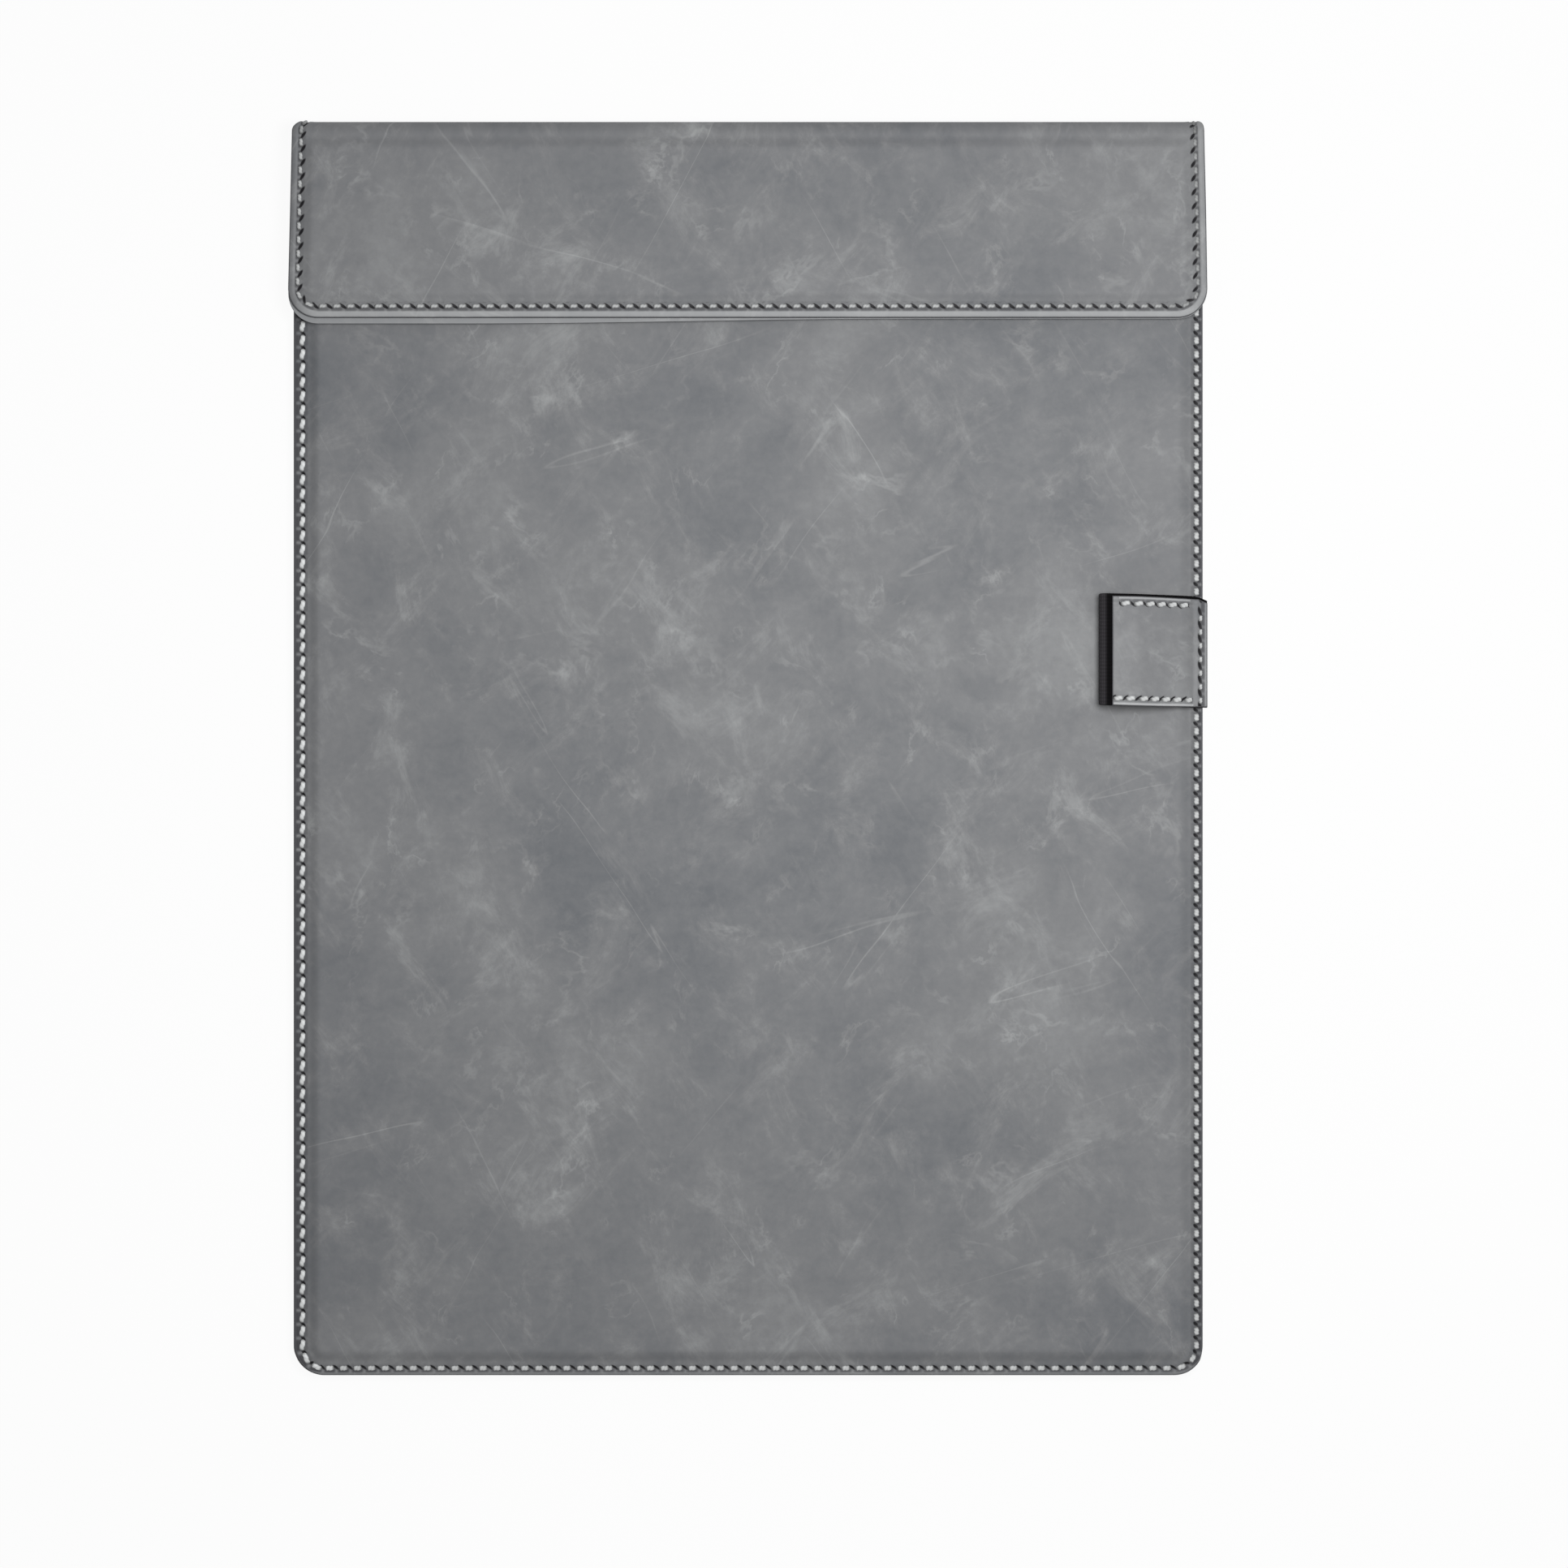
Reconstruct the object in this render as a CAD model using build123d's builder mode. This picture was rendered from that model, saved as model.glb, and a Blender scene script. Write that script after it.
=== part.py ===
from build123d import *

import os
from dataclasses import dataclass, replace
from math import atan2, cos, degrees, pi, tan

# A4 writing board with a paper flap and a pen loop.
# The board and the flap are padded panels: a stiff sheet between two skins of leather cloth that are
# pinched together and sewn round the border. Both skins run on from one panel to the other as a half
# round fold. Sheets lie on the board, held under the flap by magnets in both stiff sheets.
# X points right, Y towards the fold and Z up. The back lies on Z = 0, under the middle of the folder.

# Driving dimensions in millimetres, angles in degrees

# Outline of the closed folder
board_width = 228.3
board_length = 314.5
corner_radius = 7.4
flap_length = 49.4
flap_flare = 1.1
lining_reach = 0.8

# Skins and stiff sheets
skin = 1.2
board_sheet = 3.0
flap_sheet = 2.0
flap_gap = 0.3
sheet_clearance = 0.1

# Pinched border and the slope from it up to the pad
border = 3.2
flap_front_border = 3.9
fold_gutter = 0.6
slope_run_per_rise = 1.2

# Seams
seam_inset = 1.9
flap_seam_side = 2.2
flap_seam_front = 2.9
stitch_pitch = 3.5
thread_length = 2.6
thread_width = 0.9
thread_thickness = 0.6
thread_lean = 7.0
groove_width = 1.5
groove_depth = 0.3

# Magnets
magnet_radius = 6.0
magnet_thickness = 1.8
magnet_clearance = 0.1
magnet_pitch = 60.0
magnet_count = 4
magnet_inset = 19.5

# Pen loop
elastic = 0.9
elastic_width = 27.9
elastic_peek = 0.7
facing_width = elastic_width - elastic_peek
loop_y = 24.6
loop_reach = 26.5
loop_overhang = 0.93
loop_gap = 0.3
pen_room = 4.6
loop_flat = 6.1
row_inset = 1.8
row_pitch = 3.0
row_thread = 2.1
root_seam_inset = 1.7
root_corner_cut = 0.8

# Heights of the layers and the neutral radius of the fold
board_top = 2 * skin + board_sheet
board_mid = board_top / 2
flap_floor = board_top + flap_gap
flap_mid = flap_floor + skin + flap_sheet / 2
fold_radius = (flap_mid - board_mid) / 2
fold_z = board_mid + fold_radius
spine_outer = fold_radius + skin
spine_inner = fold_radius - skin
fold_y = board_length / 2 - spine_outer
half_width = board_width / 2


@dataclass
class Panel:
    """A padded panel between the fold and its front edge. Distances are inwards from its outline."""

    front_y: float
    front_half: float
    mid_z: float
    sheet: float
    seam_side: float
    seam_front: float
    border_side: float
    border_front: float

    @property
    def slope_run(self):
        """Width of the slope from the border up to the pad."""
        return self.sheet / 2 * slope_run_per_rise

    @property
    def magnet_y(self):
        return self.front_y + magnet_inset


board = Panel(
    front_y=-board_length / 2,
    front_half=half_width,
    mid_z=board_mid,
    sheet=board_sheet,
    seam_side=seam_inset,
    seam_front=seam_inset,
    border_side=border,
    border_front=border,
)
flap = Panel(
    front_y=board_length / 2 - flap_length,
    front_half=half_width + flap_flare,
    mid_z=flap_mid,
    sheet=flap_sheet,
    seam_side=flap_seam_side,
    seam_front=flap_seam_front,
    border_side=border,
    border_front=flap_front_border,
)
# The flap's lining is cut a little longer than its cover, with the seam and the pad where the cover's are
flap_under = replace(
    flap,
    front_y=flap.front_y - lining_reach,
    seam_front=flap.seam_front + lining_reach,
    border_front=flap.border_front + lining_reach,
)

# Pen loop: a level top, then a slope down to the line where it is held
loop_floor = board_top + loop_gap
loop_top = loop_floor + pen_room + 2 * elastic
bend_radius = pen_room / 2 + elastic
bend_x = half_width - loop_reach + bend_radius
flat_x = bend_x + loop_flat
lift_x = half_width - border - board.slope_run - 0.2
pinch_z = loop_floor + 2 * elastic
slope = atan2(loop_top - pinch_z, lift_x - flat_x)
root_x = half_width - border + 0.2
root_end = half_width + loop_overhang
rim_top = board_mid + skin
root_top = rim_top + 2 * elastic
facing_y = loop_y - elastic_peek / 2


def edge_line(panel, side, front, back):
    """The panel's edge drawn in by the given distances: right side, round front corners, left side."""
    back_half = half_width - side
    front_half = panel.front_half - side
    back_y = fold_y - back
    front_y = panel.front_y + front
    radius = max(corner_radius - side, skin)
    return FilletPolyline(
        (back_half, back_y),
        (front_half, front_y),
        (-front_half, front_y),
        (-back_half, back_y),
        radius=[radius, radius],
    )


def fill_edge(panel, side, front, back, mode=Mode.ADD):
    """The face inside the edge line, closed along the fold."""
    with BuildLine() as outline:
        sides = edge_line(panel, side, front, back)
        Line(sides @ 1, sides @ 0)
    make_face(outline.edges(), mode=mode)


def skin_half(panel, up):
    """One skin of a panel: a flat border, a pad that swells over the stiff sheet, and a seam groove.

    up is 1 for the skin above the stiff sheet and -1 for the skin below it.
    """
    rise = panel.sheet / 2
    run = panel.slope_run
    border_face = panel.mid_z + up * skin
    with BuildSketch(Plane.XY.offset(panel.mid_z)) as outline:
        fill_edge(panel, 0, 0, 0)
    extrude(outline.sketch, amount=up * skin)
    with BuildSketch(Plane.XY.offset(border_face)) as foot:
        fill_edge(panel, panel.border_side, panel.border_front, fold_gutter)
    with BuildSketch(Plane.XY.offset(border_face + up * rise)) as crown:
        fill_edge(panel, panel.border_side + run, panel.border_front + run, fold_gutter + run)
    loft([foot.sketch, crown.sketch], ruled=True)
    with BuildSketch(Plane.XY.offset(panel.mid_z)) as hollow:
        fill_edge(panel, panel.border_side + run, panel.border_front + run, fold_gutter + run)
    extrude(hollow.sketch, amount=up * rise, mode=Mode.SUBTRACT)
    half_groove = groove_width / 2
    with BuildSketch(Plane.XY.offset(border_face)) as groove:
        fill_edge(panel, panel.seam_side - half_groove, panel.seam_front - half_groove, 0)
        fill_edge(panel, panel.seam_side + half_groove, panel.seam_front + half_groove, 0, Mode.SUBTRACT)
    extrude(groove.sketch, amount=-up * groove_depth, mode=Mode.SUBTRACT)


def stiff_sheet(panel):
    """The stiff sheet that fills the hollow between a panel's two skins."""
    gap = panel.slope_run + sheet_clearance
    with BuildSketch(Plane.XY.offset(panel.mid_z - panel.sheet / 2)) as outline:
        fill_edge(panel, panel.border_side + gap, panel.border_front + gap, fold_gutter + gap)
    extrude(outline.sketch, amount=panel.sheet)


def magnet_circles(radius):
    """One circle for each magnet, in a row under the flap."""
    with Locations((0, flap.magnet_y)):
        with GridLocations(magnet_pitch, 0, magnet_count, 1):
            Circle(radius)


def seam_places(panel, skip_from=0.0, skip_to=0.0):
    """Places of the stitches along a panel's seam, each turned along it and leaning a little.

    On the right-hand side, stitches between skip_from and skip_to in Y are left out.
    """
    with BuildLine() as seam:
        edge_line(panel, panel.seam_side, panel.seam_front, 0)
    path = seam.wire()
    length = path.length
    count = round(length / stitch_pitch)
    places = []
    for number in range(count):
        distance = length * (number + 0.5) / count
        spot = path.position_at(distance, PositionMode.LENGTH)
        along = path.tangent_at(distance, PositionMode.LENGTH)
        skipped = spot.X > 0 and skip_from < spot.Y < skip_to
        if not skipped:
            turn = degrees(atan2(along.Y, along.X)) + thread_lean
            places.append(Location((spot.X, spot.Y, 0), (0, 0, turn)))
    return places


def seam_threads(panel, up, places):
    """The threads that lie in the seam groove of one skin, each a flat slot standing a little proud."""
    with BuildSketch(Plane.XY.offset(panel.mid_z + up * (skin - groove_depth))) as threads:
        with Locations(*places):
            SlotOverall(thread_length, thread_width)
    extrude(threads.sketch, amount=up * thread_thickness)


def ring_sector(inner, outer, start, span):
    """A sector of a ring about the fold's axis, drawn in the YZ plane."""
    with BuildLine() as sector:
        arc_out = CenterArc((fold_y, fold_z), outer, start, span)
        arc_in = CenterArc((fold_y, fold_z), inner, start, span)
        Line(arc_out @ 0, arc_in @ 0)
        Line(arc_out @ 1, arc_in @ 1)
    make_face(sector.edges())


def half_ring(inner, outer):
    """Half a ring about the fold's axis, on the side away from the panels."""
    ring_sector(inner, outer, -90, 180)


def spine_seam_planes(width):
    """YZ planes at the left-hand face of a strip of the given width, on both seams of the spine."""
    offset = half_width - (seam_inset + flap_seam_side) / 2
    return Plane.YZ.offset(-offset - width / 2), Plane.YZ.offset(offset - width / 2)


def spine_skin(inner, outer, groove_inner):
    """One skin of the fold, a half tube as wide as the board, with a groove along each seam."""
    with BuildSketch(Plane.YZ.offset(-half_width)) as ring:
        half_ring(inner, outer)
    extrude(ring.sketch, amount=board_width)
    with BuildSketch(*spine_seam_planes(groove_width)) as grooves:
        half_ring(groove_inner, groove_inner + groove_depth)
    extrude(grooves.sketch, amount=groove_width, mode=Mode.SUBTRACT)


def spine_threads(inner):
    """Threads that lie in a seam groove of the spine, as many as the pitch leaves room for."""
    outer = inner + groove_depth
    count = max(1, round(pi * outer / stitch_pitch))
    span = degrees(thread_length / outer)
    with BuildSketch(*spine_seam_planes(thread_width)) as threads:
        for number in range(count):
            ring_sector(inner, outer, -90 + 180 * (number + 0.5) / count - span / 2, span)
    extrude(threads.sketch, amount=thread_width)


def loop_plane(middle_y, width):
    """XZ plane at the back end of a strip of the given width, which is then extruded forwards."""
    return Plane.XZ.offset(-(middle_y + width / 2))


def over_elastic(low, high):
    """The band between two thicknesses above the elastic: level, then down to the lifting line."""
    knee = tan(slope / 2)
    drop = 1 / cos(slope)
    with BuildLine() as band:
        Polyline(
            (bend_x, loop_top + low),
            (flat_x + low * knee, loop_top + low),
            (lift_x, pinch_z + low * drop),
            (lift_x, pinch_z + high * drop),
            (flat_x + high * knee, loop_top + high),
            (bend_x, loop_top + high),
            close=True,
        )
    make_face(band.edges())


def row_planes(y):
    """Planes of one row's threads on the facing: along its level part, then down its slope."""
    floor = skin - groove_depth
    start = Vector(bend_x, y, loop_top + floor)
    knee = Vector(flat_x + floor * tan(slope / 2), y, loop_top + floor)
    end = Vector(lift_x, y, pinch_z + floor / cos(slope))
    planes = []
    for begin, finish in ((start, knee), (knee, end)):
        run = finish - begin
        count = max(1, round(run.length / row_pitch))
        for number in range(count):
            middle = begin + run * ((number + 0.5) / count)
            planes.append(Plane(origin=middle, x_dir=run, z_dir=run.cross(Vector(0, 1, 0))))
    return planes


def row_threads(y):
    """One row of threads along the facing of the loop."""
    with BuildSketch(*row_planes(y)) as threads:
        SlotOverall(row_thread, thread_width, rotation=thread_lean)
    extrude(threads.sketch, amount=thread_thickness)


top_row_y = facing_y + facing_width / 2 - row_inset
bottom_row_y = facing_y - facing_width / 2 + row_inset
root_seam_x = root_end - root_seam_inset
loop_front_y = loop_y - elastic_width / 2 - thread_length / 2
loop_back_y = loop_y + elastic_width / 2 + thread_length / 2
board_places = seam_places(board)
board_front_places = seam_places(board, loop_front_y, loop_back_y)
flap_places = seam_places(flap)

# Board
with BuildPart() as back_cover:
    skin_half(board, -1)

with BuildPart() as front_cover:
    skin_half(board, 1)

with BuildPart() as board_core:
    stiff_sheet(board)
    with BuildSketch(Plane.XY.offset(board_mid + board_sheet / 2)):
        magnet_circles(magnet_radius + magnet_clearance)
    extrude(amount=-(magnet_thickness + magnet_clearance), mode=Mode.SUBTRACT)

with BuildPart() as board_magnets:
    with BuildSketch(Plane.XY.offset(board_mid + board_sheet / 2 - magnet_thickness - magnet_clearance)):
        magnet_circles(magnet_radius)
    extrude(amount=magnet_thickness)

with BuildPart() as board_front_stitches:
    seam_threads(board, 1, board_front_places)

with BuildPart() as board_back_stitches:
    seam_threads(board, -1, board_places)

# Spine
with BuildPart() as spine_cover:
    spine_skin(fold_radius, spine_outer, spine_outer - groove_depth)

with BuildPart() as spine_lining:
    spine_skin(spine_inner, fold_radius, spine_inner)

with BuildPart() as spine_stitches:
    spine_threads(spine_outer - groove_depth)
    spine_threads(spine_inner)

# Flap
with BuildPart() as flap_cover:
    skin_half(flap, 1)

with BuildPart() as flap_lining:
    skin_half(flap_under, -1)

with BuildPart() as flap_stiffener:
    stiff_sheet(flap)
    with BuildSketch(Plane.XY.offset(flap_mid - flap_sheet / 2)):
        magnet_circles(magnet_radius + magnet_clearance)
    extrude(amount=flap_sheet, mode=Mode.SUBTRACT)

with BuildPart() as flap_magnets:
    with BuildSketch(Plane.XY.offset(flap_mid - flap_sheet / 2)):
        magnet_circles(magnet_radius)
    extrude(amount=magnet_thickness)

with BuildPart() as flap_front_stitches:
    seam_threads(flap, 1, flap_places)

with BuildPart() as flap_back_stitches:
    seam_threads(flap, -1, flap_places)

# Pen loop, free part: the elastic is bent round at its left end and its two ends meet at the right
with BuildPart() as loop_elastic:
    with BuildSketch(loop_plane(loop_y, elastic_width)):
        with BuildLine():
            bend = CenterArc((bend_x, loop_floor + bend_radius), bend_radius, 90, 180)
            Polyline(bend @ 1, (lift_x, loop_floor), (lift_x, pinch_z), (flat_x, loop_top), bend @ 0)
        make_face()
        with BuildLine():
            bore = CenterArc((bend_x, loop_floor + bend_radius), bend_radius - elastic, 90, 180)
            tip = (lift_x - elastic, loop_floor + elastic)
            Polyline(bore @ 1, tip, (flat_x, loop_top - elastic), bore @ 0)
        make_face(mode=Mode.SUBTRACT)
    extrude(amount=elastic_width)

with BuildPart() as loop_facing:
    with BuildSketch(loop_plane(facing_y, facing_width)):
        over_elastic(0, skin)
    extrude(amount=facing_width)
    for row_y in (top_row_y, bottom_row_y):
        with BuildSketch(loop_plane(row_y, groove_width)):
            over_elastic(skin - groove_depth, skin)
        extrude(amount=groove_width, mode=Mode.SUBTRACT)

with BuildPart() as loop_top_stitches:
    row_threads(top_row_y)

with BuildPart() as loop_bottom_stitches:
    row_threads(bottom_row_y)

# Pen loop, root: the ends of elastic and facing, sewn down on the board's border
with BuildPart() as loop_root_elastic:
    with BuildSketch(loop_plane(loop_y, elastic_width)):
        with BuildLine():
            Polyline(
                (lift_x, loop_floor),
                (root_x, rim_top),
                (root_end, rim_top),
                (root_end, root_top),
                (root_x, root_top),
                (lift_x, pinch_z),
                close=True,
            )
        make_face()
    extrude(amount=elastic_width)

with BuildPart() as loop_root_facing:
    with BuildSketch(loop_plane(facing_y, facing_width)):
        with BuildLine():
            Polyline(
                (lift_x, pinch_z),
                (root_x, root_top),
                (root_end, root_top),
                (root_end, root_top + skin),
                (root_x, root_top + skin),
                (lift_x, pinch_z + skin / cos(slope)),
                close=True,
            )
        make_face()
    extrude(amount=facing_width)
    back_corner = loop_root_facing.edges().filter_by(Axis.Z).sort_by(Axis.X)[-2:].sort_by(Axis.Y)[-1]
    chamfer(back_corner, length=root_corner_cut)
    with BuildSketch(Plane.XY.offset(root_top + skin)):
        with Locations((root_seam_x, facing_y)):
            Rectangle(groove_width, facing_width)
    extrude(amount=-groove_depth, mode=Mode.SUBTRACT)

with BuildPart() as loop_seam_stitches:
    with BuildSketch(Plane.XY.offset(root_top + skin - groove_depth)):
        with Locations((root_seam_x, facing_y)):
            with GridLocations(0, stitch_pitch, 1, int(facing_width / stitch_pitch)):
                SlotOverall(thread_length, thread_width, rotation=90 + thread_lean)
    extrude(amount=thread_thickness)

nodes = {
    "back_cover": back_cover,
    "front_cover": front_cover,
    "board_core": board_core,
    "board_magnets": board_magnets,
    "board_front_stitches": board_front_stitches,
    "board_back_stitches": board_back_stitches,
    "spine_cover": spine_cover,
    "spine_lining": spine_lining,
    "spine_stitches": spine_stitches,
    "flap_cover": flap_cover,
    "flap_lining": flap_lining,
    "flap_stiffener": flap_stiffener,
    "flap_magnets": flap_magnets,
    "flap_front_stitches": flap_front_stitches,
    "flap_back_stitches": flap_back_stitches,
    "loop_elastic": loop_elastic,
    "loop_facing": loop_facing,
    "loop_top_stitches": loop_top_stitches,
    "loop_bottom_stitches": loop_bottom_stitches,
    "loop_root_elastic": loop_root_elastic,
    "loop_root_facing": loop_root_facing,
    "loop_seam_stitches": loop_seam_stitches,
}

os.makedirs("parts", exist_ok=True)
for name, piece in nodes.items():
    piece.part.label = name
    export_step(piece.part, f"parts/{name}.step")
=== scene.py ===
import math

import bmesh
import bpy
import numpy as np
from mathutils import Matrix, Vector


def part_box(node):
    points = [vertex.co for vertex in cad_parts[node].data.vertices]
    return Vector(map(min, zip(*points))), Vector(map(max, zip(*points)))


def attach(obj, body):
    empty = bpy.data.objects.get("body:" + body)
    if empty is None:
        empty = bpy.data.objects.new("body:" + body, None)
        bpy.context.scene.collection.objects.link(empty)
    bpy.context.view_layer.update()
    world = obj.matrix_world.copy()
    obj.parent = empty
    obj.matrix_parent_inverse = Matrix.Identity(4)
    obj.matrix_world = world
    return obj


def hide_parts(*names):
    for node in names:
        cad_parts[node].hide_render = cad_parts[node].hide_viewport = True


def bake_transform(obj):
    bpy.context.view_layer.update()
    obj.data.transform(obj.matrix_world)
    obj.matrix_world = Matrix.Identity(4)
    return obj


bl_info = {
    "name": "Leather cloth writing board",
    "version": (1, 0, 0),
    "blender": (4, 5, 0),
    "location": "View3D > Sidebar > Writing board",
    "description": "Skins, seams and pen loop of a padded A4 writing board with a paper flap",
    "category": "Object",
}

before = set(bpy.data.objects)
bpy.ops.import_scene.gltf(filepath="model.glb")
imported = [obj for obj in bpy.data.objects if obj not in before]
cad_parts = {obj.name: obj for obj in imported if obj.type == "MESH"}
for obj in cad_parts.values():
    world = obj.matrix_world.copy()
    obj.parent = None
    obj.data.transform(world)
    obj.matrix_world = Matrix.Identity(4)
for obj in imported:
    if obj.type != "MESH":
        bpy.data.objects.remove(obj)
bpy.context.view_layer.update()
MM = 0.001

# Places of the CAD pieces that the looks are built around, in metres
BOARD_LOW, BOARD_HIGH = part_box("front_cover")
FLAP_LOW, FLAP_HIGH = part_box("flap_cover")
LINING_LOW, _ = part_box("flap_lining")
SPINE_LOW, SPINE_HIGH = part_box("spine_cover")
CORE_LOW, CORE_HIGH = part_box("board_core")
STIFF_LOW, STIFF_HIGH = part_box("flap_stiffener")
ELASTIC_LOW, ELASTIC_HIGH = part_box("loop_elastic")
FACING_LOW, FACING_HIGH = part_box("loop_facing")
ROOT_LOW, ROOT_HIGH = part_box("loop_root_elastic")

FOLD_Y = BOARD_HIGH.y
FOLD_Z = (SPINE_LOW.z + SPINE_HIGH.z) / 2
FOLD_RADIUS = FOLD_Z - BOARD_LOW.z
SKIN = SPINE_HIGH.y - FOLD_Y - FOLD_RADIUS
HALF_WIDTH = BOARD_HIGH.x
BEND_LENGTH = FOLD_RADIUS * math.pi / 2

# Grid of a skin: columns for each stitch, and rows by knot from the outline (0) over the groove (1 to 2)
# and the slope's foot (3) and crown (4) to the last row of the border (5)
COLUMNS_PER_STITCH = 6
SPINE_STITCHES = 2
ROW_KNOTS = np.concatenate([
    [0, 0.06, 0.16, 0.3, 0.5, 0.75], np.linspace(1, 2, 13), [2.5], np.linspace(3, 4, 8), [5],
])
INNER_ROWS = 9
UNDERSIDE_ROWS = np.array([0, 2, 14, -INNER_ROWS - 1, -INNER_ROWS - 1, -1])
UNDERSIDE_STEP = np.array([0, 0, 0, 0, 1, 1])
UNDERSIDE_LIFT = 0.01 * MM
STEP_CLEARANCE = 0.02 * MM
CROWN_INSET = 1.0 * MM
LAST_ROW_INSET = 0.4 * MM

# Section of a skin across its border
GROOVE_WIDTH = 0.62 * MM
DIMPLE_WIDTH = 0.6 * MM
WELT_INSET = 1.25 * MM
WELT_WIDTH = 0.55 * MM
PUFF = 0.12 * MM
PUFF_WIDTH = 0.45 * MM
EDGE_DROP = 0.6 * MM
EDGE_WIDTH = 0.8 * MM
PAD_START = 0.5 * MM
PAD_EASE = 1.9 * MM
FLAP_GROOVE = 0.65

# Needle holes drawn on the cloth as painted shade: how narrow they are along and across the seam, and
# how much painted light the seam takes, from 0 for painted shade in a dark crease to about 2 for a
# painted highlight on a pale welt
BOARD_HOLE = (6.2, 1.45)
FLAP_HOLE = (4.9, 1.25)
FLAP_HOLE_SHIFT = 0.35
BOARD_SEAM_LIGHT = 0.3
BOARD_FRONT_SEAM_LIGHT = 0.9
FLAP_SIDE_SEAM_LIGHT = 0.35
FLAP_FRONT_SEAM_LIGHT = 0.5
LINING_SEAM_LIGHT = 1.4
LINING_SEAM = -2.0
BACK_ROW_SLIT = (6.2, 1.3, 1.6)
FRONT_ROW_SLIT = (6.2, 1.3, 1.95)
ROOT_SLIT = (3.0, 1.7, 1.3)
OUT_OF_REACH = 9.0

# Small ways in which the sewn folder differs from its pattern
FOLD_END_LEFT = 1.1 * MM
FOLD_END_RIGHT = 0.25 * MM
SEAM_DRIFT = 0.3 * MM
FLARE_EASE = 0.2 * MM
LINING_SLANT = 0.6 * MM
LOOP_SLANT = 0.024

# Stitches as spindles
THREAD_RINGS = np.array([-1, -0.94, -0.7, -0.35, 0, 0.35, 0.7, 0.94, 1])
THREAD_SIDES = 8
THREAD_HEIGHT = 0.72 * MM
THREAD_SWAY = 0.1 * MM
PLY_SWELL = 0.09
PLY_TWIST = 7.0
END_SINK = 0.62
BOARD_STITCH = 0.84
BOARD_STITCH_LESS = 0.22
BOARD_LEAN_TURN = -3.4
FLAP_STITCH = 0.62
SPINE_STITCH = 0.8
FLAP_TONE = 0.86
SUNK_DEPTH = 0.22 * MM
# Painted shade darkens the stitches that are pulled in deeper
SUNK_PAINTED_SHADE = 0.3
SPINE_TONE = 0.2
# Painted light brightens the writing side's stitches on the left, which the lamp reaches less
LEFT_PAINTED_LIGHT = 0.3
SIDE_X = 105 * MM

# The pen loop: its elastic, the facing on top and its seams
ELASTIC_THICKNESS = 0.9 * MM
FLAT_X = ELASTIC_LOW.x + 9.3 * MM
ROOT_X = HALF_WIDTH - 3.0 * MM
PINCH_Z = ELASTIC_LOW.z + 2 * ELASTIC_THICKNESS
RIB_DEPTH = 0.1
CORNER_CUT_X = 2.2 * MM
CORNER_CUT_Y = 0.9 * MM
ROW_START = 1.8 * MM
ROW_INSET = 1.75 * MM
ROW_PITCH = 3.05 * MM
ROW_STOP = 3.2 * MM
ROOT_PITCH = 3.43 * MM
ROOT_SEAM = 1.7 * MM
LOOP_LEAN = 7.0
ROOT_LEAN = -9.0
BORDER_STEPS = np.array([0, 0.08, 0.2, 0.4, 0.7, 1.0, 1.2, 1.4, 1.6, 1.8, 2.0, 2.2, 2.4, 2.7, 3.1, 3.8]) * MM

# Wisps, veins and fine scratches in the cloth: turn in radians, size in millimetres, width of a vein
WISPS = ((1.0, 11.0), (-0.8, 15.0))
VEINS = ((0.5, 21.0, 0.035), (-1.2, 13.0, 0.03))
HAIRLINES = ((1.05, 7.0), (-0.95, 8.0), (-0.3, 9.0))
HAIRLINE_WIDTH = 0.016

# Single scratches in the cloth, in millimetres: both ends and the width, as they lie on the writing side
SCRATCHES = (
    (-10.6, -1.8, 23.7, 10.6, 0.5),
    (-80.3, -5.4, -74.7, -4.6, 0.7),
    (-95.0, -10.5, -80.3, -5.4, 0.4),
    (-77.0, 100.7, -74.0, 82.3, 0.45),
    (20.0, 74.3, 36.3, 58.0, 0.4),
    (46.6, 62.1, 50.7, 45.8, 0.4),
    (-21.0, -23.9, -8.6, -38.2, 0.45),
    (1.6, -42.3, 11.8, -52.5, 0.4),
    (53.7, -89.3, 73.1, -82.1, 0.4),
    (42.5, 15.0, 54.7, 11.9, 0.4),
    (-97.8, -124.0, -82.2, -148.5, 0.5),
    (-22.0, -8.0, -11.0, -30.0, 0.4),
    (-40.0, -20.0, -28.0, -36.0, 0.45),
)

# The photograph's frame, where the middle of the board lies in it, and the light
IMAGE_PIXELS = 1932
OBJECT_PIXEL_X = 922.0
OBJECT_PIXEL_Y = 923.1
PIXELS_PER_METRE = 4893.0
CAMERA_HEIGHT = 1.3
SENSOR_WIDTH = 36.0
WORLD_STRENGTH = 0.28
LAMPS = (("key", (0.125, 0.07, 0.5), 0.22, 1.95),)
FLOOR_REACH = 4.0
FLOOR_DROP = 0.05 * MM
FLOOR_GLOW = 0.94


def linear(code):
    """The linear red, green and blue of an sRGB hex code."""
    parts = [int(code[i : i + 2], 16) / 255 for i in (0, 2, 4)]
    return tuple(p / 12.92 if p <= 0.04045 else ((p + 0.055) / 1.055) ** 2.4 for p in parts)


def length_property(name, description, millimetres):
    """A length that the panel shows, with its default in millimetres."""
    return bpy.props.FloatProperty(
        name=name, description=description, default=millimetres * MM, unit="LENGTH"
    )


def colour_property(name, description, code):
    """A colour that the panel shows, with its default as a hex code."""
    return bpy.props.FloatVectorProperty(
        name=name, description=description, subtype="COLOR", default=linear(code)
    )


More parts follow.
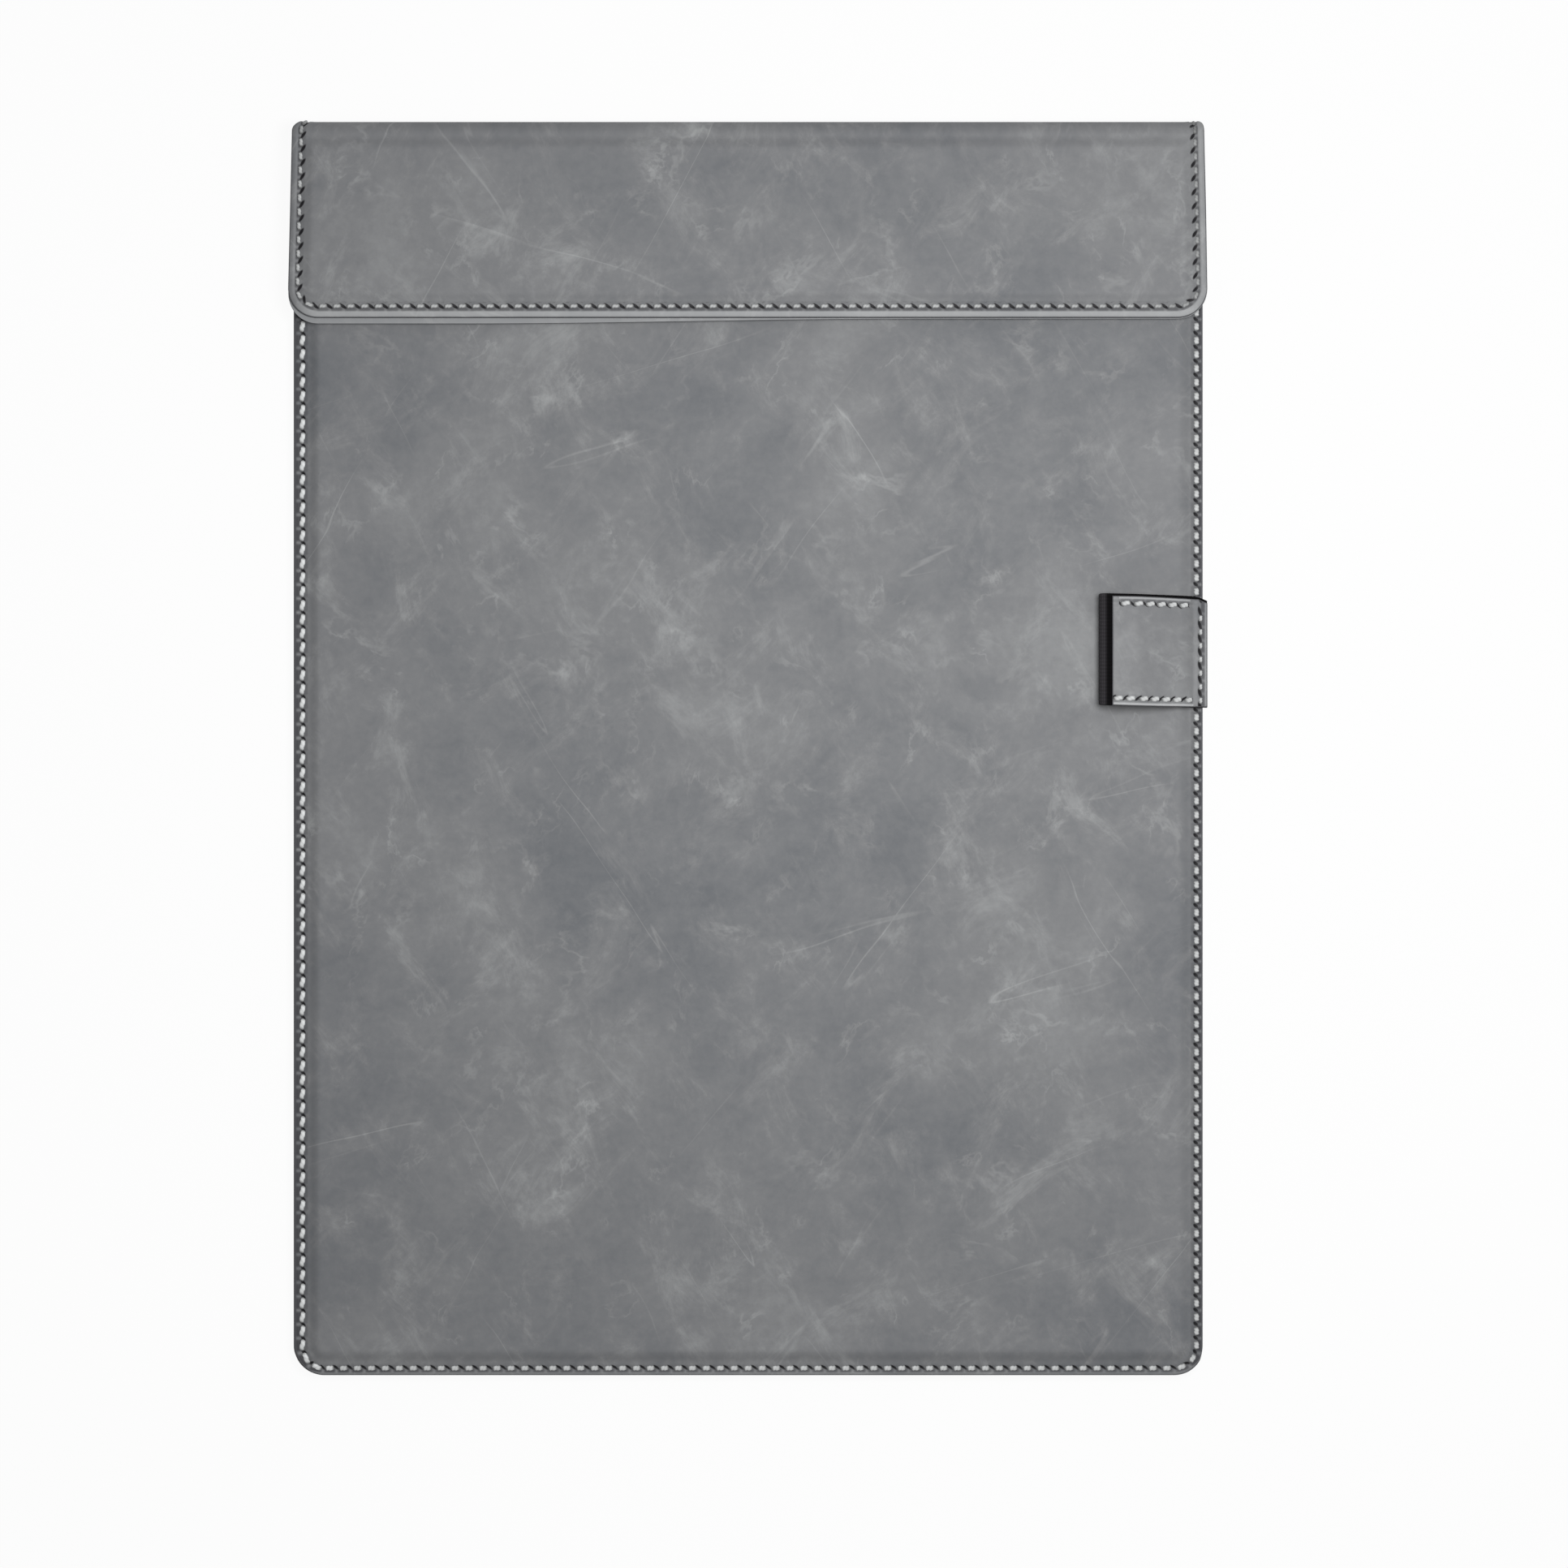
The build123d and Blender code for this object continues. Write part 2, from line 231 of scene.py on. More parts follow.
class FolderSizes(bpy.types.PropertyGroup):
    """Sizes of what is added to the CAD pieces."""

    stitch_pitch: length_property("Stitch pitch", "From one needle hole to the next", 3.5)
    thread_width: length_property("Thread width", "Width of a stitch on the surface", 0.95)
    corner_radius: length_property("Corner radius", "Radius of the outline's round corners", 7.4)
    groove: length_property("Seam depth", "How far a seam pulls the skin in", 0.38)
    rib_pitch: length_property("Elastic rib", "Spacing of the elastic's ribs", 0.9)


class FolderColours(bpy.types.PropertyGroup):
    """Colours of the folder's finishes, linear."""

    leather_dark: colour_property("Leather, dark", "Darkest clouds of the cloth", "64686D")
    leather: colour_property("Leather", "Ground colour of the cloth", "828385")
    leather_pale: colour_property("Leather, pale", "Rubbed veins and scratches", "B3B5B5")
    # Painted highlight on the welts beside the seams, where their rounded edge catches the light
    leather_highlight: colour_property("Leather, rubbed", "Welts that hands rub", "C8CACB")
    edge: colour_property("Cut edge", "Painted edge of the skins", "56565A")
    seam_shade: colour_property("Seam shade", "Crease beside a stitch", "46464A")
    needle_hole: colour_property("Needle hole", "Shade inside a needle hole", "1E1D20")
    thread: colour_property("Thread", "Polyester sewing thread", "D6D8D8")
    elastic: colour_property("Elastic", "Ribbed black elastic", "403E41")


class PaddedPanel:
    """The shape of one panel in its own flat frame.

    x runs across, y towards the fold and on round it as length along the fold's neutral line, and h is
    the height over the middle plane, positive on the side that faces the other panel.
    """

    def __init__(self, low, high, core_low, core_high, up, seam, border, welt):
        self.front_y = low.y
        self.half_front = high.x
        self.corner = bpy.context.scene.folder_sizes.corner_radius
        self.up = up
        self.mid_z = low.z
        self.rise = (core_high.z - core_low.z) / 2
        self.seam = seam
        self.border = border
        self.run = HALF_WIDTH - border[0] - abs(core_high.x) if up > 0 else self.rise * 1.2
        self.gutter = FOLD_Y - core_high.y - self.run
        self.welt = welt
        self.groove = bpy.context.scene.folder_sizes.groove * (1.0 if up > 0 else FLAP_GROOVE)

    @staticmethod
    def inset(widths, front):
        """A width that goes from its first value on the sides to its second on the front."""
        return widths[0] + (widths[1] - widths[0]) * front

    def wrap(self, x, y, h):
        """Points in the row frame.

        Beyond the fold line a point turns about the fold's axis at its own radius.
        """
        angle = np.maximum(y - FOLD_Y, 0.0) / FOLD_RADIUS
        radius = FOLD_RADIUS - h
        turned_y = np.minimum(y, FOLD_Y) + radius * np.sin(angle)
        flat_rise = h * (angle <= 0)
        turned_rise = (FOLD_RADIUS - radius * np.cos(angle)) * (angle > 0)
        return np.stack([x, turned_y, self.mid_z + self.up * (flat_rise + turned_rise)], axis=-1)

    def half_outline(self):
        """Dense samples of the right half of the outline, from the middle of the fold to the front's.

        A straight side, a quarter circle and half the front edge, each with its inward normal and a share
        that goes from 0 on the side to 1 on the front.
        """
        r = self.corner
        turn = np.linspace(0, math.pi / 2, 60)
        bend_y = np.linspace(FOLD_Y + BEND_LENGTH, FOLD_Y, 20)[:-1]
        side_y = np.linspace(FOLD_Y, self.front_y + r, 400)[:-1]
        corner_y = self.front_y + r - r * np.sin(turn)
        front_x = np.linspace(self.half_front - r, 0, 300)[1:]
        flare = (self.half_front - HALF_WIDTH) / (FOLD_Y - self.front_y - r)
        y = np.concatenate([bend_y, side_y, corner_y, np.full(front_x.size, self.front_y)])
        side_x = HALF_WIDTH + flare * (FOLD_Y - side_y)
        corner_x = self.half_front - r + r * np.cos(turn)
        x = np.concatenate([np.full(bend_y.size, HALF_WIDTH), side_x, corner_x, front_x])
        straight = np.zeros(bend_y.size + side_y.size)
        angle = np.concatenate([straight, turn, np.full(front_x.size, math.pi / 2)])
        return {"x": x, "y": y, "nx": -np.cos(angle), "ny": np.sin(angle), "front": np.sin(angle) ** 2}

    def columns(self):
        """Columns of the skin's grid, evenly spaced along the seam, the stitch pitch and half their count.

        The seam is the outline moved in along its normal. Its length is summed, with 0 at the fold line,
        and position, normal and share are read off at even steps of that length. phase counts stitches.
        """
        line = self.half_outline()
        inset = self.inset(self.seam, line["front"])
        seam_x, seam_y = line["x"] + line["nx"] * inset, line["y"] + line["ny"] * inset
        length = np.concatenate([[0], np.cumsum(np.hypot(np.diff(seam_x), np.diff(seam_y)))]) - BEND_LENGTH
        total = length[-1]
        stitches = round(2 * total / bpy.context.scene.folder_sizes.stitch_pitch) / 2
        flat = np.linspace(0, total, int(stitches * COLUMNS_PER_STITCH) + 1)
        bend = np.linspace(-BEND_LENGTH, 0, SPINE_STITCHES * COLUMNS_PER_STITCH + 1)[:-1]
        at = np.concatenate([bend, flat])
        phase = np.concatenate([bend / BEND_LENGTH * SPINE_STITCHES, flat / total * stitches])
        column = {key: np.interp(at, length, values) for key, values in line.items()}
        return phase, column, total / stitches, stitches


def smooth(t):
    """The smoothstep 3t^2 - 2t^3, held at 0 and 1 outside."""
    t = np.clip(t, 0, 1)
    return t * t * (3 - 2 * t)


def bell(x, width):
    """A bell curve of height 1, exp(-(x/width)^2)."""
    return np.exp(-((x / width) ** 2))


def quarter_round(distance, width):
    """A quarter circle that rises from 0 at an edge to 1 at width in from it."""
    return np.sqrt(np.clip(1 - (1 - np.clip(distance / width, 0, 1)) ** 2, 0, 1))


def near_hole(phase, pitch, width):
    """1 at each needle hole, which lies at every whole number of the phase."""
    return bell((phase - np.round(phase)) * pitch, width)


def with_left(right, sign=1):
    """The columns of the right half, and the left half's as their mirror image without the middle one."""
    return np.concatenate([right, sign * right[..., -2::-1]], axis=-1)


def mesh_piece(name, points, faces, attributes, sharp=40.0):
    """A piece from an array of points and lists of faces, with doubled points merged and normals outwards.

    attributes maps a name to an array of one vector for each point.
    """
    mesh = bpy.data.meshes.new(name)
    mesh.from_pydata(points.reshape(-1, 3).tolist(), [], faces)
    for key, values in attributes.items():
        layer = mesh.attributes.new(key, "FLOAT_VECTOR", "POINT")
        layer.data.foreach_set("vector", np.ascontiguousarray(values, dtype=np.float32).ravel())
    work = bmesh.new()
    work.from_mesh(mesh)
    bmesh.ops.remove_doubles(work, verts=work.verts, dist=1e-7)
    bmesh.ops.recalc_face_normals(work, faces=work.faces)
    work.to_mesh(mesh)
    work.free()
    mesh.shade_smooth()
    mesh.set_sharp_from_angle(angle=math.radians(sharp))
    piece = bpy.data.objects.new(name, mesh)
    bpy.context.scene.collection.objects.link(piece)
    return piece


def grid_faces(rows, columns, wrap_columns=False, offset=0):
    """Quads of a grid with its points in row order, closed on itself along the columns where asked."""
    r = np.arange(rows - 1)
    c = np.arange(columns if wrap_columns else columns - 1)
    r, c = (a.ravel() for a in np.meshgrid(r, c, indexing="ij"))
    c2 = (c + 1) % columns
    corners = (r * columns + c, r * columns + c2, (r + 1) * columns + c2, (r + 1) * columns + c)
    return (np.stack(corners, axis=1) + offset).tolist()


def tube_faces(rows, columns):
    """Quads of a closed section carried along rows, with a face at both ends."""
    first = list(range(columns))
    last = [(rows - 1) * columns + c for c in range(columns)][::-1]
    return grid_faces(rows, columns, wrap_columns=True) + [first, last]


def skin_piece(name, panel, side, sheet_offset):
    """One skin as a closed shell on a grid of rows across the border and columns along the seam.

    For a column with seam distance s and border width b, the height over the middle plane is the skin's
    thickness, less a bell-shaped groove at s, less a dimple at each needle hole, plus a welt outside the
    seam, plus the pad's rise times a smoothstep from the border inwards. Past the border the rows run in
    straight lines to the panel's middle line. side is 1 for the skin that faces the other panel.
    """
    phase, column, _, _ = panel.columns()
    seam = panel.inset(panel.seam, column["front"])
    border = panel.inset(panel.border, column["front"])
    groove_half = 1.1 * MM
    stops = np.stack([
        np.zeros_like(seam), seam - groove_half, seam + groove_half, border - 0.3 * MM,
        np.full(seam.size, panel.corner - CROWN_INSET), np.full(seam.size, panel.corner - LAST_ROW_INSET),
    ])
    knots = np.arange(len(stops))
    d = np.stack([np.interp(ROW_KNOTS, knots, stops[:, c]) for c in range(seam.size)], axis=1)
    x = column["x"] + d * column["nx"]
    y = column["y"] + d * column["ny"]
    # Inner rows, on straight lines to the middle line
    share = np.linspace(0, 1, INNER_ROWS + 1)[1:, None]
    goal_y = np.maximum(column["y"], panel.front_y + 3 * panel.corner)
    x_in = x[-1] * (1 - share)
    y_in = y[-1] * (1 - share) + goal_y * share
    d = np.concatenate([d, d[-1] + x[-1] - x_in])
    x = np.concatenate([x, x_in])
    y = np.concatenate([y, y_in])
    inside = np.minimum(d - border, FOLD_Y - panel.gutter - y)
    pad = panel.rise * smooth((inside + PAD_START) / (panel.run + PAD_EASE))
    hole = near_hole(phase, bpy.context.scene.folder_sizes.stitch_pitch, DIMPLE_WIDTH)
    dip = panel.groove * bell(d - seam, GROOVE_WIDTH) * (0.75 + 0.6 * hole)
    welt = panel.welt * bell(d - seam + WELT_INSET, WELT_WIDTH) * (0.9 - 0.25 * hole)
    puff = PUFF * bell(d - seam - WELT_INSET, PUFF_WIDTH) * (0.8 - 0.4 * hole)
    h = SKIN - dip + welt + puff - EDGE_DROP * (1 - quarter_round(d, EDGE_WIDTH)) + pad
    # Underside: flat on the middle plane, stepped up over the stiff sheet
    step = UNDERSIDE_STEP[:, None] * (inside[UNDERSIDE_ROWS] > panel.run - 0.3 * MM)
    under_h = step * (panel.rise + STEP_CLEARANCE) + UNDERSIDE_LIFT
    order = np.concatenate([UNDERSIDE_ROWS[::-1], np.arange(len(x))])
    on_top = (np.arange(order.size) >= UNDERSIDE_ROWS.size)[:, None]
    h = with_left(np.concatenate([under_h[::-1], h]))
    x, y, d = with_left(x[order], -1), with_left(y[order]), with_left(d[order])
    seam = with_left(seam)
    phase = np.concatenate([phase, 2 * phase[-1] - phase[-2::-1]]) * np.ones_like(d)
    shown_x, shown_y = settled(panel, x, y, side)
    points = panel.wrap(shown_x, shown_y, side * h)
    rows, columns = x.shape
    faces = grid_faces(rows, columns)
    right_end = [r * columns for r in range(rows)]
    left_end = [r * columns + columns - 1 for r in range(1, rows - 1)]
    faces.append(right_end + left_end[::-1])
    along = y if panel.up > 0 else 2 * (FOLD_Y + BEND_LENGTH) - y
    cloth = np.stack([x + sheet_offset, along, np.zeros_like(x)], axis=-1)
    # Seam coordinates: stitches along the seam, millimetres in from it and from the outline
    inward = (d - seam) / MM + OUT_OF_REACH * ~on_top * (d > 0)
    seam_at = np.stack([phase, inward, np.where(on_top, d / MM, 2 * (d > 0))], axis=-1)
    sideways = np.abs(with_left(column["nx"]))
    front = 1 - sideways**2
    # Painted light on the seams: the board's back and left keep the most painted shade, its writing side's
    # front less; the flap's welts take a painted highlight, paler on the right and front
    if panel.up > 0:
        left_dark = smooth((x + 100 * MM) / (20 * MM))
        seam_light = (BOARD_SEAM_LIGHT * left_dark + BOARD_FRONT_SEAM_LIGHT * front) * (side > 0)
    else:
        seam_at[..., 1] += FLAP_HOLE_SHIFT * (0.7 - 1.7 * sideways)
        side_seam_light = np.where(x > 0, FLAP_SIDE_SEAM_LIGHT, 0.0)
        seam_light = 1 + side_seam_light + (FLAP_FRONT_SEAM_LIGHT - side_seam_light) * front
        # The lining's edge shelf, in the cover's shadow, takes a painted highlight
        if side > 0:
            seam_at[: UNDERSIDE_ROWS.size, :, 1] = LINING_SEAM
            seam_light = np.full_like(x, LINING_SEAM_LIGHT)
    narrow = BOARD_HOLE if panel.up > 0 else FLAP_HOLE
    slit = np.stack([np.full_like(x, narrow[0]), np.full_like(x, narrow[1]), seam_light], axis=-1)
    return mesh_piece(name, points, faces, {"cloth": cloth, "seam": seam_at, "slit": slit})


def settled(panel, x, y, side):
    """Small ways in which the sewn folder differs from its pattern.

    The left end of the fold is drawn in by a smoothstep along the bend, the right end a little. The
    board's seam lies a little to the right, and the flap flares less at the front of its right side. The
    flap's lining reaches out further on the left than on the right.
    """
    bend = smooth((y - FOLD_Y - 0.3 * BEND_LENGTH) / (0.7 * BEND_LENGTH))
    drawn = np.where(x < 0, FOLD_END_LEFT, FOLD_END_RIGHT) * bend
    x = x * (1 - drawn / HALF_WIDTH)
    if panel.up > 0 and side > 0:
        inset = HALF_WIDTH - np.abs(x)
        x = x + SEAM_DRIFT * smooth(inset / (1.2 * MM)) * (1 - smooth((inset - 4 * MM) / (6 * MM)))
    if panel.up < 0:
        x = x - FLARE_EASE * smooth(x / HALF_WIDTH) * smooth((FOLD_Y - 15 * MM - y) / (30 * MM))
    if panel.up < 0 and side > 0:
        front = 1 - smooth((y - panel.front_y - 2 * MM) / (14 * MM))
        y = y + LINING_SLANT * front * (2 * smooth((x + 70 * MM) / (110 * MM)) - 1)
    return x, y


def leaning(tangent, sideways, degrees):
    """Two unit vectors at right angles, turned in their plane."""
    turn = np.radians(degrees)
    along = tangent * np.cos(turn) + sideways * np.sin(turn)
    return along, sideways * np.cos(turn) - tangent * np.sin(turn)


def thread_piece(name, centres, axes, size, shape, tone=1.0, sway=0.06 * MM):
    """Stitches as small closed spindles, one for each centre.

    With a from -1 to 1 along a stitch and b once round it, the centreline rises as 1 - a^4 and sways as
    sin(pi a), the radius falls off to 0 at both ends as (1 - a^6)^0.5, and two plies swell it as
    cos(2b - 7a). axes holds the directions along, across and up, size the length, width and height, and
    shape moves the finished points to their places.
    """
    length, width, height = size
    a = THREAD_RINGS[:, None]
    b = np.linspace(0, 2 * math.pi, THREAD_SIDES + 1)[:-1][None, :]
    fall = np.sqrt(np.clip(1 - a**6, 0, 1))
    ply = 1 + PLY_SWELL * np.cos(2 * b - PLY_TWIST * a)
    aside = width / 2 * fall * ply * np.cos(b) + sway * np.sin(math.pi * a)
    rise = height / 2 * fall * ply * np.sin(b) + height * (0.5 - END_SINK * a**4)
    local = np.stack([length / 2 * a * np.ones_like(b), aside, rise], axis=-1)
    points = centres[:, None, None, :] + np.einsum("rck,nkj->nrcj", local, np.stack(axes, axis=1))
    twist = np.zeros_like(points)
    twist[..., 0] = a
    twist[..., 1] = b
    twist[..., 2] = np.broadcast_to(tone, len(centres))[:, None, None]
    count, rings, sides, _ = points.shape
    faces = []
    for number in range(count):
        faces += grid_faces(rings, sides, wrap_columns=True, offset=number * rings * sides)
    return mesh_piece(name, shape(points), faces, {"twist": twist.reshape(-1, 3)}, sharp=180.0)


def panel_threads(name, panel, side, lean, skip=None, spine=True, width=1.0):
    """The stitches along one skin's seam, placed half way between its needle holes.

    skip is a stretch of the right side that is left free, between two values of y.
    """
    phase, column, pitch, stitches = panel.columns()
    first = -SPINE_STITCHES if spine else 0
    middle = np.arange(first, stitches - 0.6) + 0.5
    if stitches % 1:
        middle = np.append(middle, stitches)
    place = {key: np.interp(middle, phase, values) for key, values in column.items()}
    inset = panel.inset(panel.seam, place["front"])
    x, y = place["x"] + place["nx"] * inset, place["y"] + place["ny"] * inset
    mirror = np.abs(x) >= 0.5 * pitch
    both = ((x, -1), (y, 1), (place["nx"], -1), (place["ny"], 1), (middle, 1))
    x, y, nx, ny, middle = (np.concatenate([values, sign * values[mirror]]) for values, sign in both)
    if skip is not None:
        kept = (x <= 0) | (y <= skip[0]) | (y >= skip[1])
        x, y, nx, ny, middle = (values[kept] for values in (x, y, nx, ny, middle))
    writing_side = panel.up > 0 and side > 0
    # The stitches of the writing side's front and right lean the other way and are shorter
    turned_share = writing_side * smooth((x + 112 * MM) / (8 * MM))
    lean = (lean * (1 + BOARD_LEAN_TURN * turned_share))[:, None]
    tangent, normal = np.stack([-ny, nx, 0 * x], axis=1), np.stack([nx, ny, 0 * x], axis=1)
    along, across = leaning(tangent, normal, lean)
    # On the flap's top the stitches of the right side are pulled in deeper
    sunk = np.where(x > SIDE_X, 1.0, 0.5 * smooth((x - 40 * MM) / (60 * MM)))
    sunk = sunk * (panel.up < 0) * (side < 0)
    centres = np.stack([x, y, SKIN - panel.groove * 0.95 - SUNK_DEPTH * sunk], axis=1)
    on_spine = middle < 0
    # Painted shade dims the sunk stitches and painted light brightens the writing side's left stitches
    tone = (1.0 if panel.up > 0 else FLAP_TONE) - SUNK_PAINTED_SHADE * sunk - SPINE_TONE * on_spine
    tone = tone + LEFT_PAINTED_LIGHT * writing_side * (x < -SIDE_X)
    share = BOARD_STITCH - BOARD_STITCH_LESS * turned_share if panel.up > 0 else FLAP_STITCH
    length = np.where(on_spine, BEND_LENGTH / SPINE_STITCHES * SPINE_STITCH, pitch * share)
    up = np.tile([0.0, 0.0, 1.0], (x.size, 1))
    size = (1.0, bpy.context.scene.folder_sizes.thread_width * width, THREAD_HEIGHT)

    def sewn(points):
        """Stitches of length 1 drawn in to their own lengths and laid on the skin."""
        run = np.einsum("nrcj,nj->nrc", points - centres[:, None, None, :], along)
        points = points + (run * (length[:, None, None] - 1))[..., None] * along[:, None, None, :]
        shown_x, shown_y = settled(panel, points[..., 0], points[..., 1], side)
        return panel.wrap(shown_x, shown_y, side * points[..., 2])

    return thread_piece(name, centres, (along, across, up), size, sewn, tone, THREAD_SWAY)


class LoopStrip:
    """A line in the XZ plane through given points, corners rounded by averaging, read off by length."""

    def __init__(self, x, z, ease):
        x, z = np.array(x), np.array(z)
        length = np.concatenate([[0], np.cumsum(np.hypot(np.diff(x), np.diff(z)))])
        step = 0.1 * MM
        even = np.linspace(0, length[-1], int(length[-1] / step) + 1)
        half = int(ease / step)
        x, z = (self.averaged(np.interp(even, length, values), half) for values in (x, z))
        self.length = np.concatenate([[0], np.cumsum(np.hypot(np.diff(x), np.diff(z)))])
        tx, tz = np.gradient(x), np.gradient(z)
        size = np.hypot(tx, tz)
        self.values = {"x": x, "z": z, "nx": -tz / size, "nz": tx / size}
        self.total = self.length[-1]

    @staticmethod
    def averaged(values, half):
        """A running mean, with the ends mirrored through their end points so that they stay in place."""
        before = 2 * values[0] - values[half:0:-1]
        after = 2 * values[-1] - values[-2 : -half - 2 : -1]
        kernel = np.ones(2 * half + 1) / (2 * half + 1)
        return np.convolve(np.concatenate([before, values, after]), kernel, mode="valid")

    def read(self, at):
        """Place and upward normal at given lengths along the line."""
        return {key: np.interp(at, self.length, values) for key, values in self.values.items()}


def turned(points):
    """The loop is sewn on slightly askew: y falls off with x about the middle of the facing."""
    points = np.array(points)
    points[..., 1] -= LOOP_SLANT * (points[..., 0] - (FACING_LOW.x + HALF_WIDTH) / 2)
    return points


def elastic_piece():
    """The elastic as a closed band: a rounded oblong section carried along the loop's line.

    The line goes from the sewn root along the board, round the bend, back over the top and down to the
    root again. Across the band, shallow ribs lie along its length.
    """
    half = ELASTIC_THICKNESS / 2
    floor = ELASTIC_LOW.z + half
    top = ELASTIC_HIGH.z - half
    bend_x = FACING_LOW.x
    turn = np.linspace(-math.pi / 2, -3 * math.pi / 2, 40)
    radius = (top - floor) / 2
    lift_x = ELASTIC_HIGH.x
    rim = ROOT_LOW.z
    x = np.concatenate([
        [ROOT_HIGH.x, ROOT_X, lift_x], bend_x + radius * np.cos(turn), [FLAT_X, lift_x, ROOT_X, ROOT_HIGH.x],
    ])
    z = np.concatenate([
        [rim + half, rim + half, floor], (floor + top) / 2 + radius * np.sin(turn),
        [top, PINCH_Z - half, rim + 3 * half, rim + 3 * half],
    ])
    line = LoopStrip(x, z, 0.7 * MM)
    at = np.linspace(0, line.total, 150)
    place = line.read(at)
    half_wide = (ELASTIC_HIGH.y - ELASTIC_LOW.y) / 2
    across = np.linspace(-1, 1, 125) * half_wide
    ribs = 0.5 + 0.5 * np.cos(2 * math.pi * across / bpy.context.scene.folder_sizes.rib_pitch)
    high = half * quarter_round(half_wide - np.abs(across), half) * (1 - RIB_DEPTH * (1 - ribs))
    section_y = np.concatenate([across, across[::-1]])
    section_h = np.concatenate([high, -high[::-1]])
    x = place["x"][:, None] + place["nx"][:, None] * section_h
    z = place["z"][:, None] + place["nz"][:, None] * section_h
    y = (ELASTIC_LOW.y + ELASTIC_HIGH.y) / 2 + section_y + 0 * x
    # The cut corner at the back of the root, and painted light: the crown of the bend paler and the elastic
    # beside the facing darker as painted shade
    back = FACING_HIGH.y + 0.5 * MM - CORNER_CUT_Y * np.clip(1 - (ROOT_HIGH.x - x) / CORNER_CUT_X, 0, 1)
    y = y + (np.minimum(y, back) - y) * smooth((x - ROOT_X) / (1.5 * MM))
    bend_light = 0.1 + 0.9 * smooth((bend_x - 1.1 * MM - x) / (0.9 * MM))
    weave = np.stack([at[:, None] + 0 * x, section_y + 0 * x, bend_light], axis=-1)
    points = turned(np.stack([x, y, z], axis=-1))
    return mesh_piece("elastic_band", points, tube_faces(*x.shape), {"cloth": weave}, sharp=60.0)


def facing_line():
    """The underside of the loop's facing, on top of the elastic, from its free end to the board's edge."""
    x = [FACING_LOW.x, FLAT_X, ELASTIC_HIGH.x, ROOT_X, ROOT_HIGH.x]
    top = ELASTIC_HIGH.z
    root = ROOT_LOW.z + 2 * ELASTIC_THICKNESS
    return LoopStrip(x, [top, top, PINCH_Z, root, root], 0.9 * MM)


def facing_piece():
    """The facing as a closed shell over the elastic, on a grid of length along it and width across it.

    Its top is the skin's thickness, less a bell-shaped groove along each row of stitches and across the
    root, less a dimple at each needle hole, rounded off towards the cut edges.
    """
    line = facing_line()
    a = np.linspace(0, line.total, 170)[:, None]
    width = FACING_HIGH.y - FACING_LOW.y
    inner = np.linspace(BORDER_STEPS[-1], width - BORDER_STEPS[-1], 26)[1:-1]
    across = np.concatenate([BORDER_STEPS, inner, width - BORDER_STEPS[::-1]])[None, :]
    place = {key: values[:, None] for key, values in line.read(a[:, 0]).items()}
    back_half = across > width / 2
    from_side = np.minimum(across, width - across)
    from_root = line.total - a
    groove = bpy.context.scene.folder_sizes.groove
    phase = (a - ROW_START * back_half) / ROW_PITCH
    hole = near_hole(phase, ROW_PITCH, 0.55 * MM)
    row_end = smooth((from_root - ROW_STOP) / (1.5 * MM))
    dip = groove * 0.9 * bell(from_side - ROW_INSET, 0.6 * MM) * (0.7 + 0.6 * hole) * row_end
    welt = PUFF * bell(from_side - 0.85 * MM, 0.5 * MM)
    root_phase = (across + 0 * a) / ROOT_PITCH
    root_hole = near_hole(root_phase, ROOT_PITCH, 0.9 * MM)
    root_dip = groove * bell(from_root - ROOT_SEAM, 0.6 * MM) * (0.7 + 0.7 * root_hole)
    edge = np.minimum(np.minimum(from_side, from_root), a)
    thick = SKIN - dip + welt - root_dip - 0.4 * MM * (1 - quarter_round(edge, 0.5 * MM))
    # The cut corner at the back of the root, and sides that aren't quite straight
    trim = CORNER_CUT_Y * np.clip(1 - from_root / CORNER_CUT_X, 0, 1)
    y = FACING_LOW.y + across * (1 - trim / width)
    wave_reach = 8 * MM
    wave = 0.12 * MM * np.sin(a / (7 * MM) + 0.6) * np.where(back_half, 1, -1)
    y = y + wave * (1 - from_side / wave_reach) * (from_side < wave_reach)
    top = np.stack([place["x"] + place["nx"] * thick, y, place["z"] + place["nz"] * thick], axis=-1)
    base = np.stack([place["x"] + 0 * thick, y, place["z"] + 0 * thick], axis=-1)
    cloth = np.stack([a + 0.4 + 0 * y, y, 0 * y], axis=-1)
    # Seam coordinates of the two rows and, at the root, of the seam across
    at_root = from_root < ROOT_SEAM + 1.2 * MM
    along = np.where(at_root, root_phase, phase)
    beside = np.where(at_root, from_root - ROOT_SEAM, from_side - ROW_INSET) / MM
    start = ROW_START * back_half
    stop = start + np.floor((line.total - ROW_STOP - start) / ROW_PITCH) * ROW_PITCH
    past_row = (a > stop + 0.2 * MM) | (a < start - 0.2 * MM)
    beside = np.where(~at_root & past_row, OUT_OF_REACH, beside)
    seam_top = np.stack([along, beside, edge / MM], axis=-1)
    seam_low = np.stack([along, beside + OUT_OF_REACH, np.zeros_like(edge)], axis=-1)
    slit = np.where(back_half[..., None], BACK_ROW_SLIT, FRONT_ROW_SLIT)
    slit = np.where(at_root[..., None], ROOT_SLIT, slit)

    def both_sides(upper, lower):
        return np.concatenate([upper, lower[:, ::-1]], axis=1)

    points = turned(both_sides(top, base))
    attributes = {"cloth": (cloth, cloth), "seam": (seam_top, seam_low), "slit": (slit, slit)}
    attributes = {key: both_sides(*values) for key, values in attributes.items()}
    return mesh_piece("loop_cover_strip", points, tube_faces(*points.shape[:2]), attributes)


